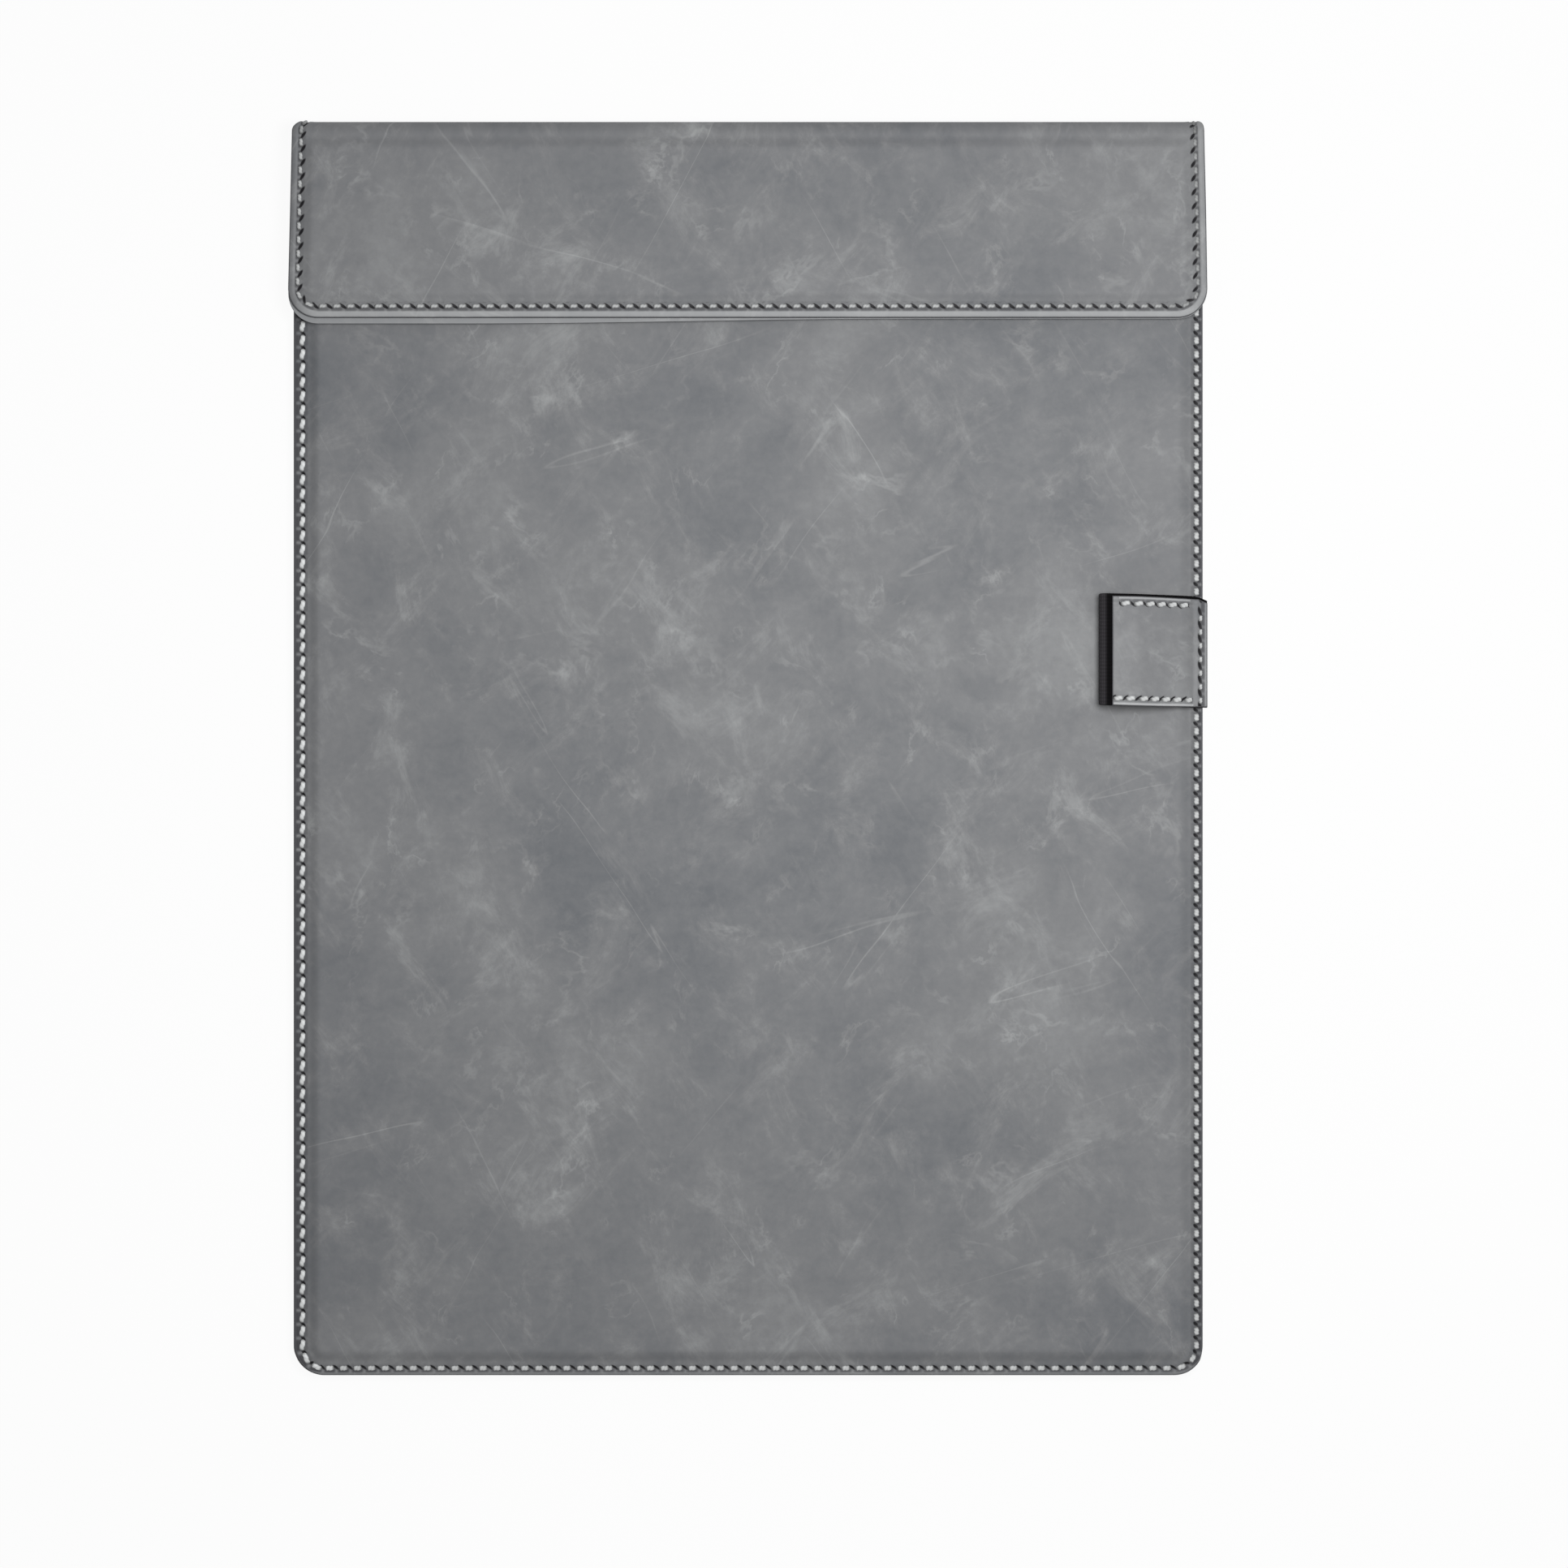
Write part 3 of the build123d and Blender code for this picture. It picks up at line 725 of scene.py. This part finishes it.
def facing_row(name, y):
    """One row of stitches along the facing, from its free end to where the root begins."""
    line = facing_line()
    start = ROW_START if y > (FACING_LOW.y + FACING_HIGH.y) / 2 else 0.0
    count = int((line.total - ROW_STOP - start) / ROW_PITCH)
    at = start + (np.arange(count) + 0.5) * ROW_PITCH
    place = line.read(at)
    tangent = np.stack([place["nz"], 0 * at, -place["nx"]], axis=1)
    up = np.stack([place["nx"], 0 * at, place["nz"]], axis=1)
    along, across = leaning(tangent, np.array([[0.0, 1.0, 0.0]]), LOOP_LEAN)
    sizes = bpy.context.scene.folder_sizes
    centres = np.stack([place["x"], np.full(count, y), place["z"]], axis=1)
    centres = centres + up * (SKIN - sizes.groove * 0.9)
    size = (ROW_PITCH * BOARD_STITCH, sizes.thread_width * 1.2, 0.75 * MM)
    return thread_piece(name, centres, (along, across, up), size, turned)


def root_row():
    """The seam across the loop's root: short stitches between long needle holes."""
    line = facing_line()
    place = line.read(line.total - ROOT_SEAM)
    low = FACING_LOW.y
    count = int((FACING_HIGH.y - low) / ROOT_PITCH)
    y = low + (np.arange(count) + 0.5) * ROOT_PITCH
    base = place["z"] + SKIN - bpy.context.scene.folder_sizes.groove
    centres = np.stack([np.full(count, place["x"]), y, np.full(count, base)], axis=1)
    along, across = leaning(np.array([0.0, 1.0, 0.0]), np.array([-1.0, 0.0, 0.0]), ROOT_LEAN)
    axes = [np.tile(axis, (count, 1)) for axis in (along, across, (0.0, 0.0, 1.0))]
    size = (1.7 * MM, 0.8 * MM, 0.62 * MM)
    return thread_piece("root_seam_threads", centres, axes, size, turned, 0.9, 0.05 * MM)


def add_node(tree, kind, fixed=None, linked=None, **settings):
    """Adds one node with its settings, its fixed inputs and the sockets linked into it."""
    node = tree.nodes.new(kind)
    for key, value in settings.items():
        setattr(node, key, value)
    for key, value in (fixed or {}).items():
        node.inputs[key].default_value = value
    for key, socket in (linked or {}).items():
        tree.links.new(socket, node.inputs[key])
    return node


def new_material(name):
    """An empty node material and its tree."""
    material = bpy.data.materials.new(name)
    material.use_nodes = True
    material.node_tree.nodes.clear()
    return material, material.node_tree


def shared_material(name, make):
    """A material by name, made the first time it is asked for."""
    return bpy.data.materials.get(name) or make(name)


def per_metre(size_mm):
    """Noise scale for features of a real size in millimetres."""
    return 1.0 / (size_mm * MM)


def rgba(colour):
    """A colour without transparency."""
    return (*colour, 1.0)


def compute(tree, operation, *values):
    """The result of a math node on numbers and sockets."""
    fixed = {i: v for i, v in enumerate(values) if not isinstance(v, bpy.types.NodeSocket)}
    linked = {i: v for i, v in enumerate(values) if isinstance(v, bpy.types.NodeSocket)}
    return add_node(tree, "ShaderNodeMath", fixed, linked, operation=operation).outputs[0]


def times(tree, first, second):
    """The product of two values."""
    return compute(tree, "MULTIPLY", first, second)


def weigh(tree, value, factor, rest):
    """value * factor + rest."""
    return compute(tree, "MULTIPLY_ADD", value, factor, rest)


def distance(tree, value, middle):
    """How far a value is from a number."""
    return compute(tree, "ABSOLUTE", compute(tree, "SUBTRACT", value, middle))


def strongest(tree, values):
    """The greatest of several values."""
    most = values[0]
    for value in values[1:]:
        most = compute(tree, "MAXIMUM", most, value)
    return most


def ramp(tree, value, low, high):
    """0 at low and 1 at high, eased between them; low may be the greater."""
    if low < high:
        fixed = {"From Min": low, "From Max": high}
    else:
        fixed = {"From Min": high, "From Max": low, "To Min": 1.0, "To Max": 0.0}
    settings = {"interpolation_type": "SMOOTHSTEP"}
    return add_node(tree, "ShaderNodeMapRange", fixed, {"Value": value}, **settings).outputs[0]


def spread(tree, value, low, high, first, last):
    """first at low and last at high, in proportion between them."""
    fixed = {"From Min": low, "From Max": high, "To Min": first, "To Max": last}
    return add_node(tree, "ShaderNodeMapRange", fixed, {"Value": value}).outputs[0]


def attribute(tree, name):
    """A vector that the mesh carries."""
    return add_node(tree, "ShaderNodeAttribute", attribute_name=name).outputs["Vector"]


def split(tree, vector):
    """The three parts of a vector."""
    return list(add_node(tree, "ShaderNodeSeparateXYZ", None, {0: vector}).outputs)


def noise(tree, place, size_mm, detail, roughness, distortion=0.0, output="Fac"):
    """A noise whose blotches are about size_mm across."""
    fixed = {"Scale": per_metre(size_mm), "Detail": detail, "Roughness": roughness, "Distortion": distortion}
    return add_node(tree, "ShaderNodeTexNoise", fixed, {"Vector": place}).outputs[output]


def slanted(tree, place, turn, stretch, number):
    """Coordinates turned, drawn out along the turned direction, and moved on by a step for each number."""
    fixed = {"Angle": turn, "Center": (0.31 * number, 0.17 * number, 0.0)}
    turned_place = add_node(tree, "ShaderNodeVectorRotate", fixed, {"Vector": place}, rotation_type="Z_AXIS")
    return vector_math(tree, "MULTIPLY", turned_place.outputs[0], (stretch, 1.0, 1.0))


def vector_math(tree, operation, place, vector, output="Vector"):
    """The result of a vector math node on coordinates and a fixed vector."""
    node = add_node(tree, "ShaderNodeVectorMath", {1: vector}, {0: place}, operation=operation)
    return node.outputs[output]


def scratch(tree, place, x1, y1, x2, y2, width):
    """1 on the line between two points, falling to 0 at its width and towards its ends."""
    run_x, run_y = x2 - x1, y2 - y1
    length = math.hypot(run_x, run_y)
    ux, uy = run_x / length, run_y / length
    moved = vector_math(tree, "SUBTRACT", place, (x1, y1, 0.0))
    along = vector_math(tree, "DOT_PRODUCT", moved, (ux / length, uy / length, 0.0), "Value")
    off = vector_math(tree, "DOT_PRODUCT", moved, (-uy / width, ux / width, 0.0), "Value")
    off = compute(tree, "ABSOLUTE", off)
    return times(tree, ramp(tree, off, 1.0, 0.2), ramp(tree, distance(tree, along, 0.5), 0.5, 0.2))


def mixed(tree, first, second, share, blend="MIX"):
    """The colour first, with a share of second blended over it."""
    node = add_node(tree, "ShaderNodeMix", data_type="RGBA", blend_type=blend)
    a, b = (socket for socket in node.inputs if socket.type == "RGBA")
    for socket, value in ((a, first), (b, second), (node.inputs[0], share)):
        if isinstance(value, bpy.types.NodeSocket):
            tree.links.new(value, socket)
        else:
            socket.default_value = value
    return node.outputs["Result"]


def two_tones(tree, value, first, second):
    """A colour that goes from the first hex code to the second."""
    node = add_node(tree, "ShaderNodeValToRGB", None, {"Fac": value})
    for element, code in zip(node.color_ramp.elements, (first, second)):
        element.color = rgba(linear(code))
    return node.outputs[0]


def bump(tree, height, strength, depth_mm):
    """A normal that follows a height."""
    fixed = {"Strength": strength, "Distance": depth_mm * MM}
    return add_node(tree, "ShaderNodeBump", fixed, {"Height": height}).outputs[0]


def surface(tree, fixed, linked):
    """A Principled shader as the material's surface."""
    shader = add_node(tree, "ShaderNodeBsdfPrincipled", fixed, linked)
    add_node(tree, "ShaderNodeOutputMaterial", None, {"Surface": shader.outputs[0]})


def cloth_tones(tree, cloth, mottle):
    """The cloth's own colour: clouds and mottle, wisps along both diagonals, veins and scratches."""
    clouds = noise(tree, cloth, 75, 3.0, 0.5, 0.3)
    flecks = noise(tree, cloth, 2.4, 3.0, 0.6)
    value = weigh(tree, clouds, 0.5, weigh(tree, mottle, 0.24, weigh(tree, flecks, 0.15, 0.03)))
    for number, (turn, size) in enumerate(WISPS):
        drawn = noise(tree, slanted(tree, cloth, turn, 0.5, number), size, 7.0, 0.72, 0.5)
        value = weigh(tree, ramp(tree, drawn, 0.5, 0.78), 0.18, value)
    # Pale veins: where a crumpled noise crosses its middle value, soft and broken up into patches
    for number, (turn, size, width) in enumerate(VEINS):
        place = slanted(tree, cloth, turn, 0.8, number + 8)
        off = distance(tree, noise(tree, place, size, 5.0, 0.6, 0.35), 0.5)
        patch = ramp(tree, noise(tree, place, size * 0.9, 3.0, 0.6), 0.5, 0.68)
        value = weigh(tree, times(tree, ramp(tree, off, width, 0.0), patch), 0.11, value)
    # Fine scratches: where a noise drawn out along one direction crosses its middle value, in patches
    marks = []
    for number, (turn, size) in enumerate(HAIRLINES):
        place = slanted(tree, cloth, turn, 0.1, number + 4)
        off = distance(tree, noise(tree, place, size, 2.0, 0.45), 0.5)
        patch = ramp(tree, noise(tree, place, size * 1.3, 1.5, 0.5), 0.6, 0.72)
        marks.append(times(tree, ramp(tree, off, HAIRLINE_WIDTH, 0.0), patch))
    # Single longer scratches, each a thin, slightly wandering line between two points
    wander = noise(tree, cloth, 7, 2.0, 0.5, output="Color")
    drift = {1: (2.4 * MM, 2.4 * MM, 0.0)}
    shaken = add_node(tree, "ShaderNodeVectorMath", drift, {0: wander, 2: cloth}, operation="MULTIPLY_ADD")
    long_marks = [scratch(tree, shaken.outputs[0], *(v * MM for v in line)) for line in SCRATCHES]
    broken = times(tree, strongest(tree, long_marks), ramp(tree, flecks, 0.4, 0.62))
    value = weigh(tree, strongest(tree, marks), 0.15, weigh(tree, broken, 0.22, value))
    colours = bpy.context.scene.folder_colours
    tones = add_node(tree, "ShaderNodeValToRGB", None, {"Fac": value})
    dark, pale = tones.color_ramp.elements
    dark.position, pale.position = 0.28, 0.95
    dark.color, pale.color = rgba(colours.leather_dark), rgba(colours.leather_pale)
    tones.color_ramp.elements.new(0.52).color = rgba(colours.leather)
    return tones.outputs[0]


def seam_tones(tree, colour):
    """The seam over the cloth's colour.

    Painted shade fills a needle hole at every whole stitch and a dark line on both sides of each stitch, and
    a painted highlight lies on the welt outside them. The cut edge is painted, and its dark band is wider as
    painted shade where the seam takes little painted light.
    """
    colours = bpy.context.scene.folder_colours
    phase, inward, from_edge = split(tree, attribute(tree, "seam"))
    narrow_along, narrow_across, seam_light = split(tree, attribute(tree, "slit"))
    near = compute(tree, "SUBTRACT", compute(tree, "FRACT", compute(tree, "ADD", phase, 0.5)), 0.5)
    welt_lit = ramp(tree, seam_light, 0.5, 1.0)
    lean = weigh(tree, inward, weigh(tree, welt_lit, -0.42, 0.13), near)
    inner = compute(tree, "SUBTRACT", inward, 0.22)
    spot = {"X": times(tree, lean, narrow_along), "Y": times(tree, inner, narrow_across)}
    spot = add_node(tree, "ShaderNodeCombineXYZ", None, spot).outputs[0]
    reach = add_node(tree, "ShaderNodeVectorMath", None, {0: spot}, operation="LENGTH").outputs["Value"]
    hole = ramp(tree, reach, 1.15, 0.6)
    outside = times(tree, ramp(tree, inward, 0.2, -0.2), ramp(tree, seam_light, 2.4, 0.6))
    inside = times(tree, ramp(tree, inward, -0.2, 0.2), ramp(tree, seam_light, 1.25, 0.0))
    beside = weigh(tree, welt_lit, 0.4, compute(tree, "ABSOLUTE", inward))
    middle = compute(tree, "ABSOLUTE", near)
    shade = times(tree, ramp(tree, beside, 1.65, 1.2), ramp(tree, middle, -0.04, 0.22))
    shade = times(tree, shade, weigh(tree, inside, 0.35, outside))
    welt = times(tree, ramp(tree, inward, -0.8, -1.3), ramp(tree, from_edge, 0.1, 0.5))
    # Painted highlight on the welt outside the seam
    welt_highlight = times(tree, welt, ramp(tree, seam_light, 1.0, 2.0))
    # The edge paint's dark band widens as painted shade where the seam takes little painted light
    rim = times(tree, from_edge, weigh(tree, seam_light, 1.1, 1.0))
    colour = mixed(tree, colour, rgba(colours.leather_highlight), times(tree, welt_highlight, 0.85))
    colour = mixed(tree, colour, rgba(colours.seam_shade), shade)
    colour = mixed(tree, colour, rgba(colours.needle_hole), hole)
    return mixed(tree, colour, rgba(colours.edge), ramp(tree, rim, 0.75, 0.3))


def leather_cloth(name):
    """Embossed polyurethane leather cloth with a waxed look, with painted shade and highlights at its seams.

    To the eye it is matt grey with soft clouds some centimetres wide, drawn out into wisps along both
    diagonals, and a few thin pale scratches. Its grain is below a millimetre and shows as a slight bump.
    """
    material, tree = new_material(name)
    cloth = attribute(tree, "cloth")
    mottle = noise(tree, cloth, 17, 5.0, 0.62, 0.5)
    colour = seam_tones(tree, cloth_tones(tree, cloth, mottle))
    grain = noise(tree, cloth, 0.8, 2.0, 0.6)
    normal = bump(tree, weigh(tree, mottle, 2.0, grain), 0.3, 0.05)
    rough = spread(tree, mottle, 0.3, 0.7, 0.66, 0.56)
    fixed = {"IOR": 1.5, "Specular IOR Level": 0.3}
    surface(tree, fixed, {"Base Color": colour, "Roughness": rough, "Normal": normal})
    return material


def sewing_thread(name):
    """Twisted polyester sewing thread: off white, with a soft sheen and a shadow between its two plies."""
    material, tree = new_material(name)
    along, around, tone = split(tree, attribute(tree, "twist"))
    angle = weigh(tree, along, -PLY_TWIST, times(tree, around, 2.0))
    shade = spread(tree, compute(tree, "COSINE", angle), -1.0, 0.2, 0.84, 1.0)
    # Painted shade dims both ends of a stitch where they sink into the needle holes; the back end is dimmer
    # still
    fade = spread(tree, compute(tree, "ABSOLUTE", along), 0.62, 1.0, 1.0, 0.45)
    tail = spread(tree, along, -1.0, -0.1, 0.6, 1.0)
    value = times(tree, times(tree, times(tree, shade, fade), tail), tone)
    thread = rgba(bpy.context.scene.folder_colours.thread)
    fixed = {"Roughness": 0.6, "IOR": 1.45, "Sheen Weight": 0.15}
    surface(tree, fixed, {"Base Color": mixed(tree, thread, value, 1.0, "MULTIPLY")})
    return material


def woven_elastic(name):
    """Woven black elastic: matt ribs along its length, crossed by fine picks 0.45 mm apart."""
    material, tree = new_material(name)
    along, across, bend_light = split(tree, attribute(tree, "cloth"))
    rib = bpy.context.scene.folder_sizes.rib_pitch
    picks = compute(tree, "SINE", times(tree, along, 2 * math.pi / (0.45 * MM)))
    ribs = compute(tree, "COSINE", times(tree, across, 2 * math.pi / rib))
    weave = compute(tree, "ADD", picks, ribs)
    # Painted shade darkens the elastic next to the facing, and the bend's crown is lighter as painted light
    tone = times(tree, spread(tree, weave, -2.0, 2.0, 0.75, 1.15), bend_light)
    elastic = rgba(bpy.context.scene.folder_colours.elastic)
    colour = mixed(tree, elastic, tone, 1.0, "MULTIPLY")
    fixed = {"Roughness": 0.8, "IOR": 1.45, "Specular IOR Level": 0.06}
    surface(tree, fixed, {"Base Color": colour, "Normal": bump(tree, weave, 0.6, 0.08)})
    return material


def grey_board(name):
    """Pressed grey board: dull, with short paper fibres a few millimetres long."""
    material, tree = new_material(name)
    place = add_node(tree, "ShaderNodeTexCoord").outputs["Object"]
    drawn = add_node(tree, "ShaderNodeMapping", {"Scale": (1.0, 4.0, 1.0)}, {"Vector": place}).outputs[0]
    fibre = noise(tree, drawn, 3, 6.0, 0.7)
    colour = two_tones(tree, fibre, "8A8378", "A8A297")
    surface(tree, {"Roughness": 0.85}, {"Base Color": colour, "Normal": bump(tree, fibre, 0.3, 0.05)})
    return material


def nickel_plate(name):
    """Nickel plating on a sintered magnet: bright, with a faint haze of fine pits."""
    material, tree = new_material(name)
    place = add_node(tree, "ShaderNodeTexCoord").outputs["Object"]
    haze = noise(tree, place, 1.5, 3.0, 0.5)
    rough = spread(tree, haze, 0.0, 1.0, 0.18, 0.34)
    tint = two_tones(tree, haze, "B9B4AA", "CFCBC2")
    surface(tree, {"Metallic": 1.0}, {"Base Color": tint, "Roughness": rough})
    return material


def floor_material(name):
    """White paper sweep: the camera sees it as white, and a share of real white keeps the shadow."""
    material, tree = new_material(name)
    path = add_node(tree, "ShaderNodeLightPath").outputs
    rays = ("Is Camera Ray", "Is Glossy Ray", "Is Transmission Ray")
    share = times(tree, strongest(tree, [path[ray] for ray in rays]), FLOOR_GLOW)
    white = add_node(tree, "ShaderNodeBsdfDiffuse", {"Color": (0.86, 0.86, 0.86, 1.0)})
    glow = add_node(tree, "ShaderNodeEmission", {"Color": (1.0, 1.0, 1.0, 1.0), "Strength": 1.0})
    shaders = {0: share, 1: white.outputs[0], 2: glow.outputs[0]}
    both = add_node(tree, "ShaderNodeMixShader", None, shaders)
    add_node(tree, "ShaderNodeOutputMaterial", None, {"Surface": both.outputs[0]})
    return material


def dress(piece, material, slot, *nodes):
    """Gives a piece its material and hides the CAD nodes that it stands for; slot is not used."""
    piece.data.materials.append(material)
    if nodes:
        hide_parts(*nodes)
    return piece


def board_panel():
    """The board's panel, which both of its skins share."""
    seam, border = (1.9 * MM, 1.8 * MM), (3.2 * MM, 3.2 * MM)
    return PaddedPanel(BOARD_LOW, BOARD_HIGH, CORE_LOW, CORE_HIGH, 1, seam, border, 0.08 * MM)


def flap_panel(low):
    """The flap's panel for the skin whose front edge is at low: the lining reaches further than the top."""
    longer = FLAP_LOW.y - low.y
    seam, border = (2.4 * MM, 2.9 * MM + longer), (3.3 * MM, 3.9 * MM + longer)
    panel = PaddedPanel(FLAP_LOW, FLAP_HIGH, STIFF_LOW, STIFF_HIGH, -1, seam, border, 0.25 * MM)
    panel.front_y = low.y
    return panel


def bend_to_spine(piece, panel_body):
    """Bakes a piece's transform into its mesh, for a board piece and a flap piece alike."""
    if panel_body == "board":
        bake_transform(piece)
    else:
        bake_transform(piece)


class FOLDER_OT_skins(bpy.types.Operator):
    """Make the four skins of board and flap, each running round its half of the fold"""

    bl_idname = "folder.skins"
    bl_label = "Leather cloth skins"

    def execute(self, context):
        leather = shared_material("grey_leather_cloth", leather_cloth)
        board, flap, under = board_panel(), flap_panel(FLAP_LOW), flap_panel(LINING_LOW)
        skins = (
            ("board_back_skin", board, -1, 0.0, "board", ("back_cover", "spine_cover")),
            ("board_front_skin", board, 1, 1.3, "board", ("front_cover", "spine_lining")),
            ("flap_top_skin", flap, -1, 0.0, "flap", ("flap_cover",)),
            ("flap_under_skin", under, 1, 1.3, "flap", ("flap_lining",)),
        )
        for name, panel, side, offset, body, nodes in skins:
            piece = dress(skin_piece(name, panel, side, offset), leather, "leather_cloth", *nodes)
            bend_to_spine(piece, body)
        return {"FINISHED"}


class FOLDER_OT_seams(bpy.types.Operator):
    """Sew the borders of board and flap with slanted stitches on both sides"""

    bl_idname = "folder.seams"
    bl_label = "Border seams"

    def execute(self, context):
        thread = shared_material("off_white_thread", sewing_thread)
        board, flap, under = board_panel(), flap_panel(FLAP_LOW), flap_panel(LINING_LOW)
        skip = (ROOT_LOW.y - 0.3 * MM, ROOT_HIGH.y + 0.3 * MM)
        back_nodes = ("board_back_stitches", "spine_stitches")
        rows = (
            ("board_front_threads", board, 1, 6.0, skip, False, 1.3, "board", ("board_front_stitches",)),
            ("board_back_threads", board, -1, -6.0, None, True, 1.0, "board", back_nodes),
            ("flap_top_threads", flap, -1, -14.0, None, True, 0.95, "flap", ("flap_front_stitches",)),
            ("flap_under_threads", under, 1, 6.0, None, False, 1.0, "flap", ("flap_back_stitches",)),
        )
        for name, panel, side, lean, gap, spine, width, body, nodes in rows:
            piece = panel_threads(name, panel, side, lean, gap, spine, width)
            bend_to_spine(dress(piece, thread, "thread", *nodes), body)
        return {"FINISHED"}


class FOLDER_OT_pen_loop(bpy.types.Operator):
    """Make the pen loop: the elastic band, the facing on top of it and their three seams"""

    bl_idname = "folder.pen_loop"
    bl_label = "Pen loop"

    def execute(self, context):
        leather = shared_material("grey_leather_cloth", leather_cloth)
        thread = shared_material("off_white_thread", sewing_thread)
        elastic = shared_material("black_elastic", woven_elastic)
        moving = [
            dress(elastic_piece(), elastic, "elastic", "loop_elastic", "loop_root_elastic"),
            dress(facing_piece(), leather, "leather_cloth", "loop_facing", "loop_root_facing"),
        ]
        rows = (
            ("loop_back_row", FACING_HIGH.y - ROW_INSET, "loop_top_stitches"),
            ("loop_front_row", FACING_LOW.y + ROW_INSET, "loop_bottom_stitches"),
        )
        for name, y, node in rows:
            moving.append(dress(facing_row(name, y), thread, "thread", node))
        for piece in moving:
            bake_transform(piece)
        seam = dress(root_row(), thread, "thread", "loop_seam_stitches")
        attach(seam, "board")
        return {"FINISHED"}


class FOLDER_OT_inner_parts(bpy.types.Operator):
    """Give the stiff boards and the magnets between the skins their finishes"""

    bl_idname = "folder.inner_parts"
    bl_label = "Inner parts"

    def execute(self, context):
        board = shared_material("pressed_grey_board", grey_board)
        nickel = shared_material("nickel_plate", nickel_plate)
        finishes = ((board, ("board_core", "flap_stiffener")), (nickel, ("board_magnets", "flap_magnets")))
        for material, nodes in finishes:
            for node in nodes:
                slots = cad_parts[node].data.materials
                slots.clear()
                slots.append(material)
        return {"FINISHED"}


class FOLDER_OT_stage(bpy.types.Operator):
    """Lay a white floor, set soft lamps above it and look straight down"""

    bl_idname = "folder.stage"
    bl_label = "Floor, lamps and camera"

    def execute(self, context):
        scene = context.scene
        mesh = bpy.data.meshes.new("floor")
        corners = [(x * FLOOR_REACH, y * FLOOR_REACH, 0) for x, y in ((-1, -1), (1, -1), (1, 1), (-1, 1))]
        mesh.from_pydata(corners, [], [(0, 1, 2, 3)])
        mesh.materials.append(floor_material("white_sweep"))
        floor = bpy.data.objects.new("floor", mesh)
        floor.location.z = -FLOOR_DROP
        scene.collection.objects.link(floor)
        scene.world = self.soft_white()
        for name, place, size, power in LAMPS:
            light = bpy.data.lights.new(name, "AREA")
            light.shape = "DISK"
            light.size = size
            light.energy = power
            lamp = bpy.data.objects.new(name, light)
            lamp.location = place
            lamp.rotation_euler = (-Vector(place)).to_track_quat("-Z", "Y").to_euler()
            scene.collection.objects.link(lamp)
        data = bpy.data.cameras.new("camera")
        data.sensor_width = SENSOR_WIDTH
        data.lens = data.sensor_width * CAMERA_HEIGHT / (IMAGE_PIXELS / PIXELS_PER_METRE)
        camera = bpy.data.objects.new("camera", data)
        right = (IMAGE_PIXELS / 2 - OBJECT_PIXEL_X) / PIXELS_PER_METRE
        down = (IMAGE_PIXELS / 2 - OBJECT_PIXEL_Y) / PIXELS_PER_METRE
        camera.location = (right, -down, CAMERA_HEIGHT)
        scene.collection.objects.link(camera)
        scene.camera = camera
        scene.view_settings.view_transform = "Standard"
        return {"FINISHED"}

    @staticmethod
    def soft_white():
        """Weak white light from all round, which the camera sees as pure white."""
        world = bpy.data.worlds.new("soft_white")
        world.use_nodes = True
        tree = world.node_tree
        tree.nodes.clear()
        seen = add_node(tree, "ShaderNodeLightPath").outputs["Is Camera Ray"]
        dim, white = (
            add_node(tree, "ShaderNodeBackground", {"Color": (1, 1, 1, 1), "Strength": strength}).outputs[0]
            for strength in (WORLD_STRENGTH, 1.0)
        )
        mix = add_node(tree, "ShaderNodeMixShader", None, {0: seen, 1: dim, 2: white})
        add_node(tree, "ShaderNodeOutputWorld", None, {"Surface": mix.outputs[0]})
        return world


class FOLDER_PT_panel(bpy.types.Panel):
    """The folder's sizes, colours and steps"""

    bl_idname = "FOLDER_PT_panel"
    bl_label = "Writing board"
    bl_space_type = "VIEW_3D"
    bl_region_type = "UI"
    bl_category = "Writing board"

    def draw(self, context):
        for group in (context.scene.folder_sizes, context.scene.folder_colours):
            for key in group.__annotations__:
                self.layout.prop(group, key)
        for step in STEPS:
            self.layout.operator(step.bl_idname)


STEPS = (FOLDER_OT_skins, FOLDER_OT_seams, FOLDER_OT_pen_loop, FOLDER_OT_inner_parts, FOLDER_OT_stage)
CLASSES = (FolderSizes, FolderColours, *STEPS, FOLDER_PT_panel)


def register():
    for cls in CLASSES:
        bpy.utils.register_class(cls)
    bpy.types.Scene.folder_sizes = bpy.props.PointerProperty(type=FolderSizes)
    bpy.types.Scene.folder_colours = bpy.props.PointerProperty(type=FolderColours)


def unregister():
    del bpy.types.Scene.folder_colours
    del bpy.types.Scene.folder_sizes
    for cls in reversed(CLASSES):
        bpy.utils.unregister_class(cls)


def main():
    register()
    bpy.ops.folder.skins()
    bpy.ops.folder.seams()
    bpy.ops.folder.pen_loop()
    bpy.ops.folder.inner_parts()
    bpy.ops.folder.stage()


if __name__ == "__main__":
    main()
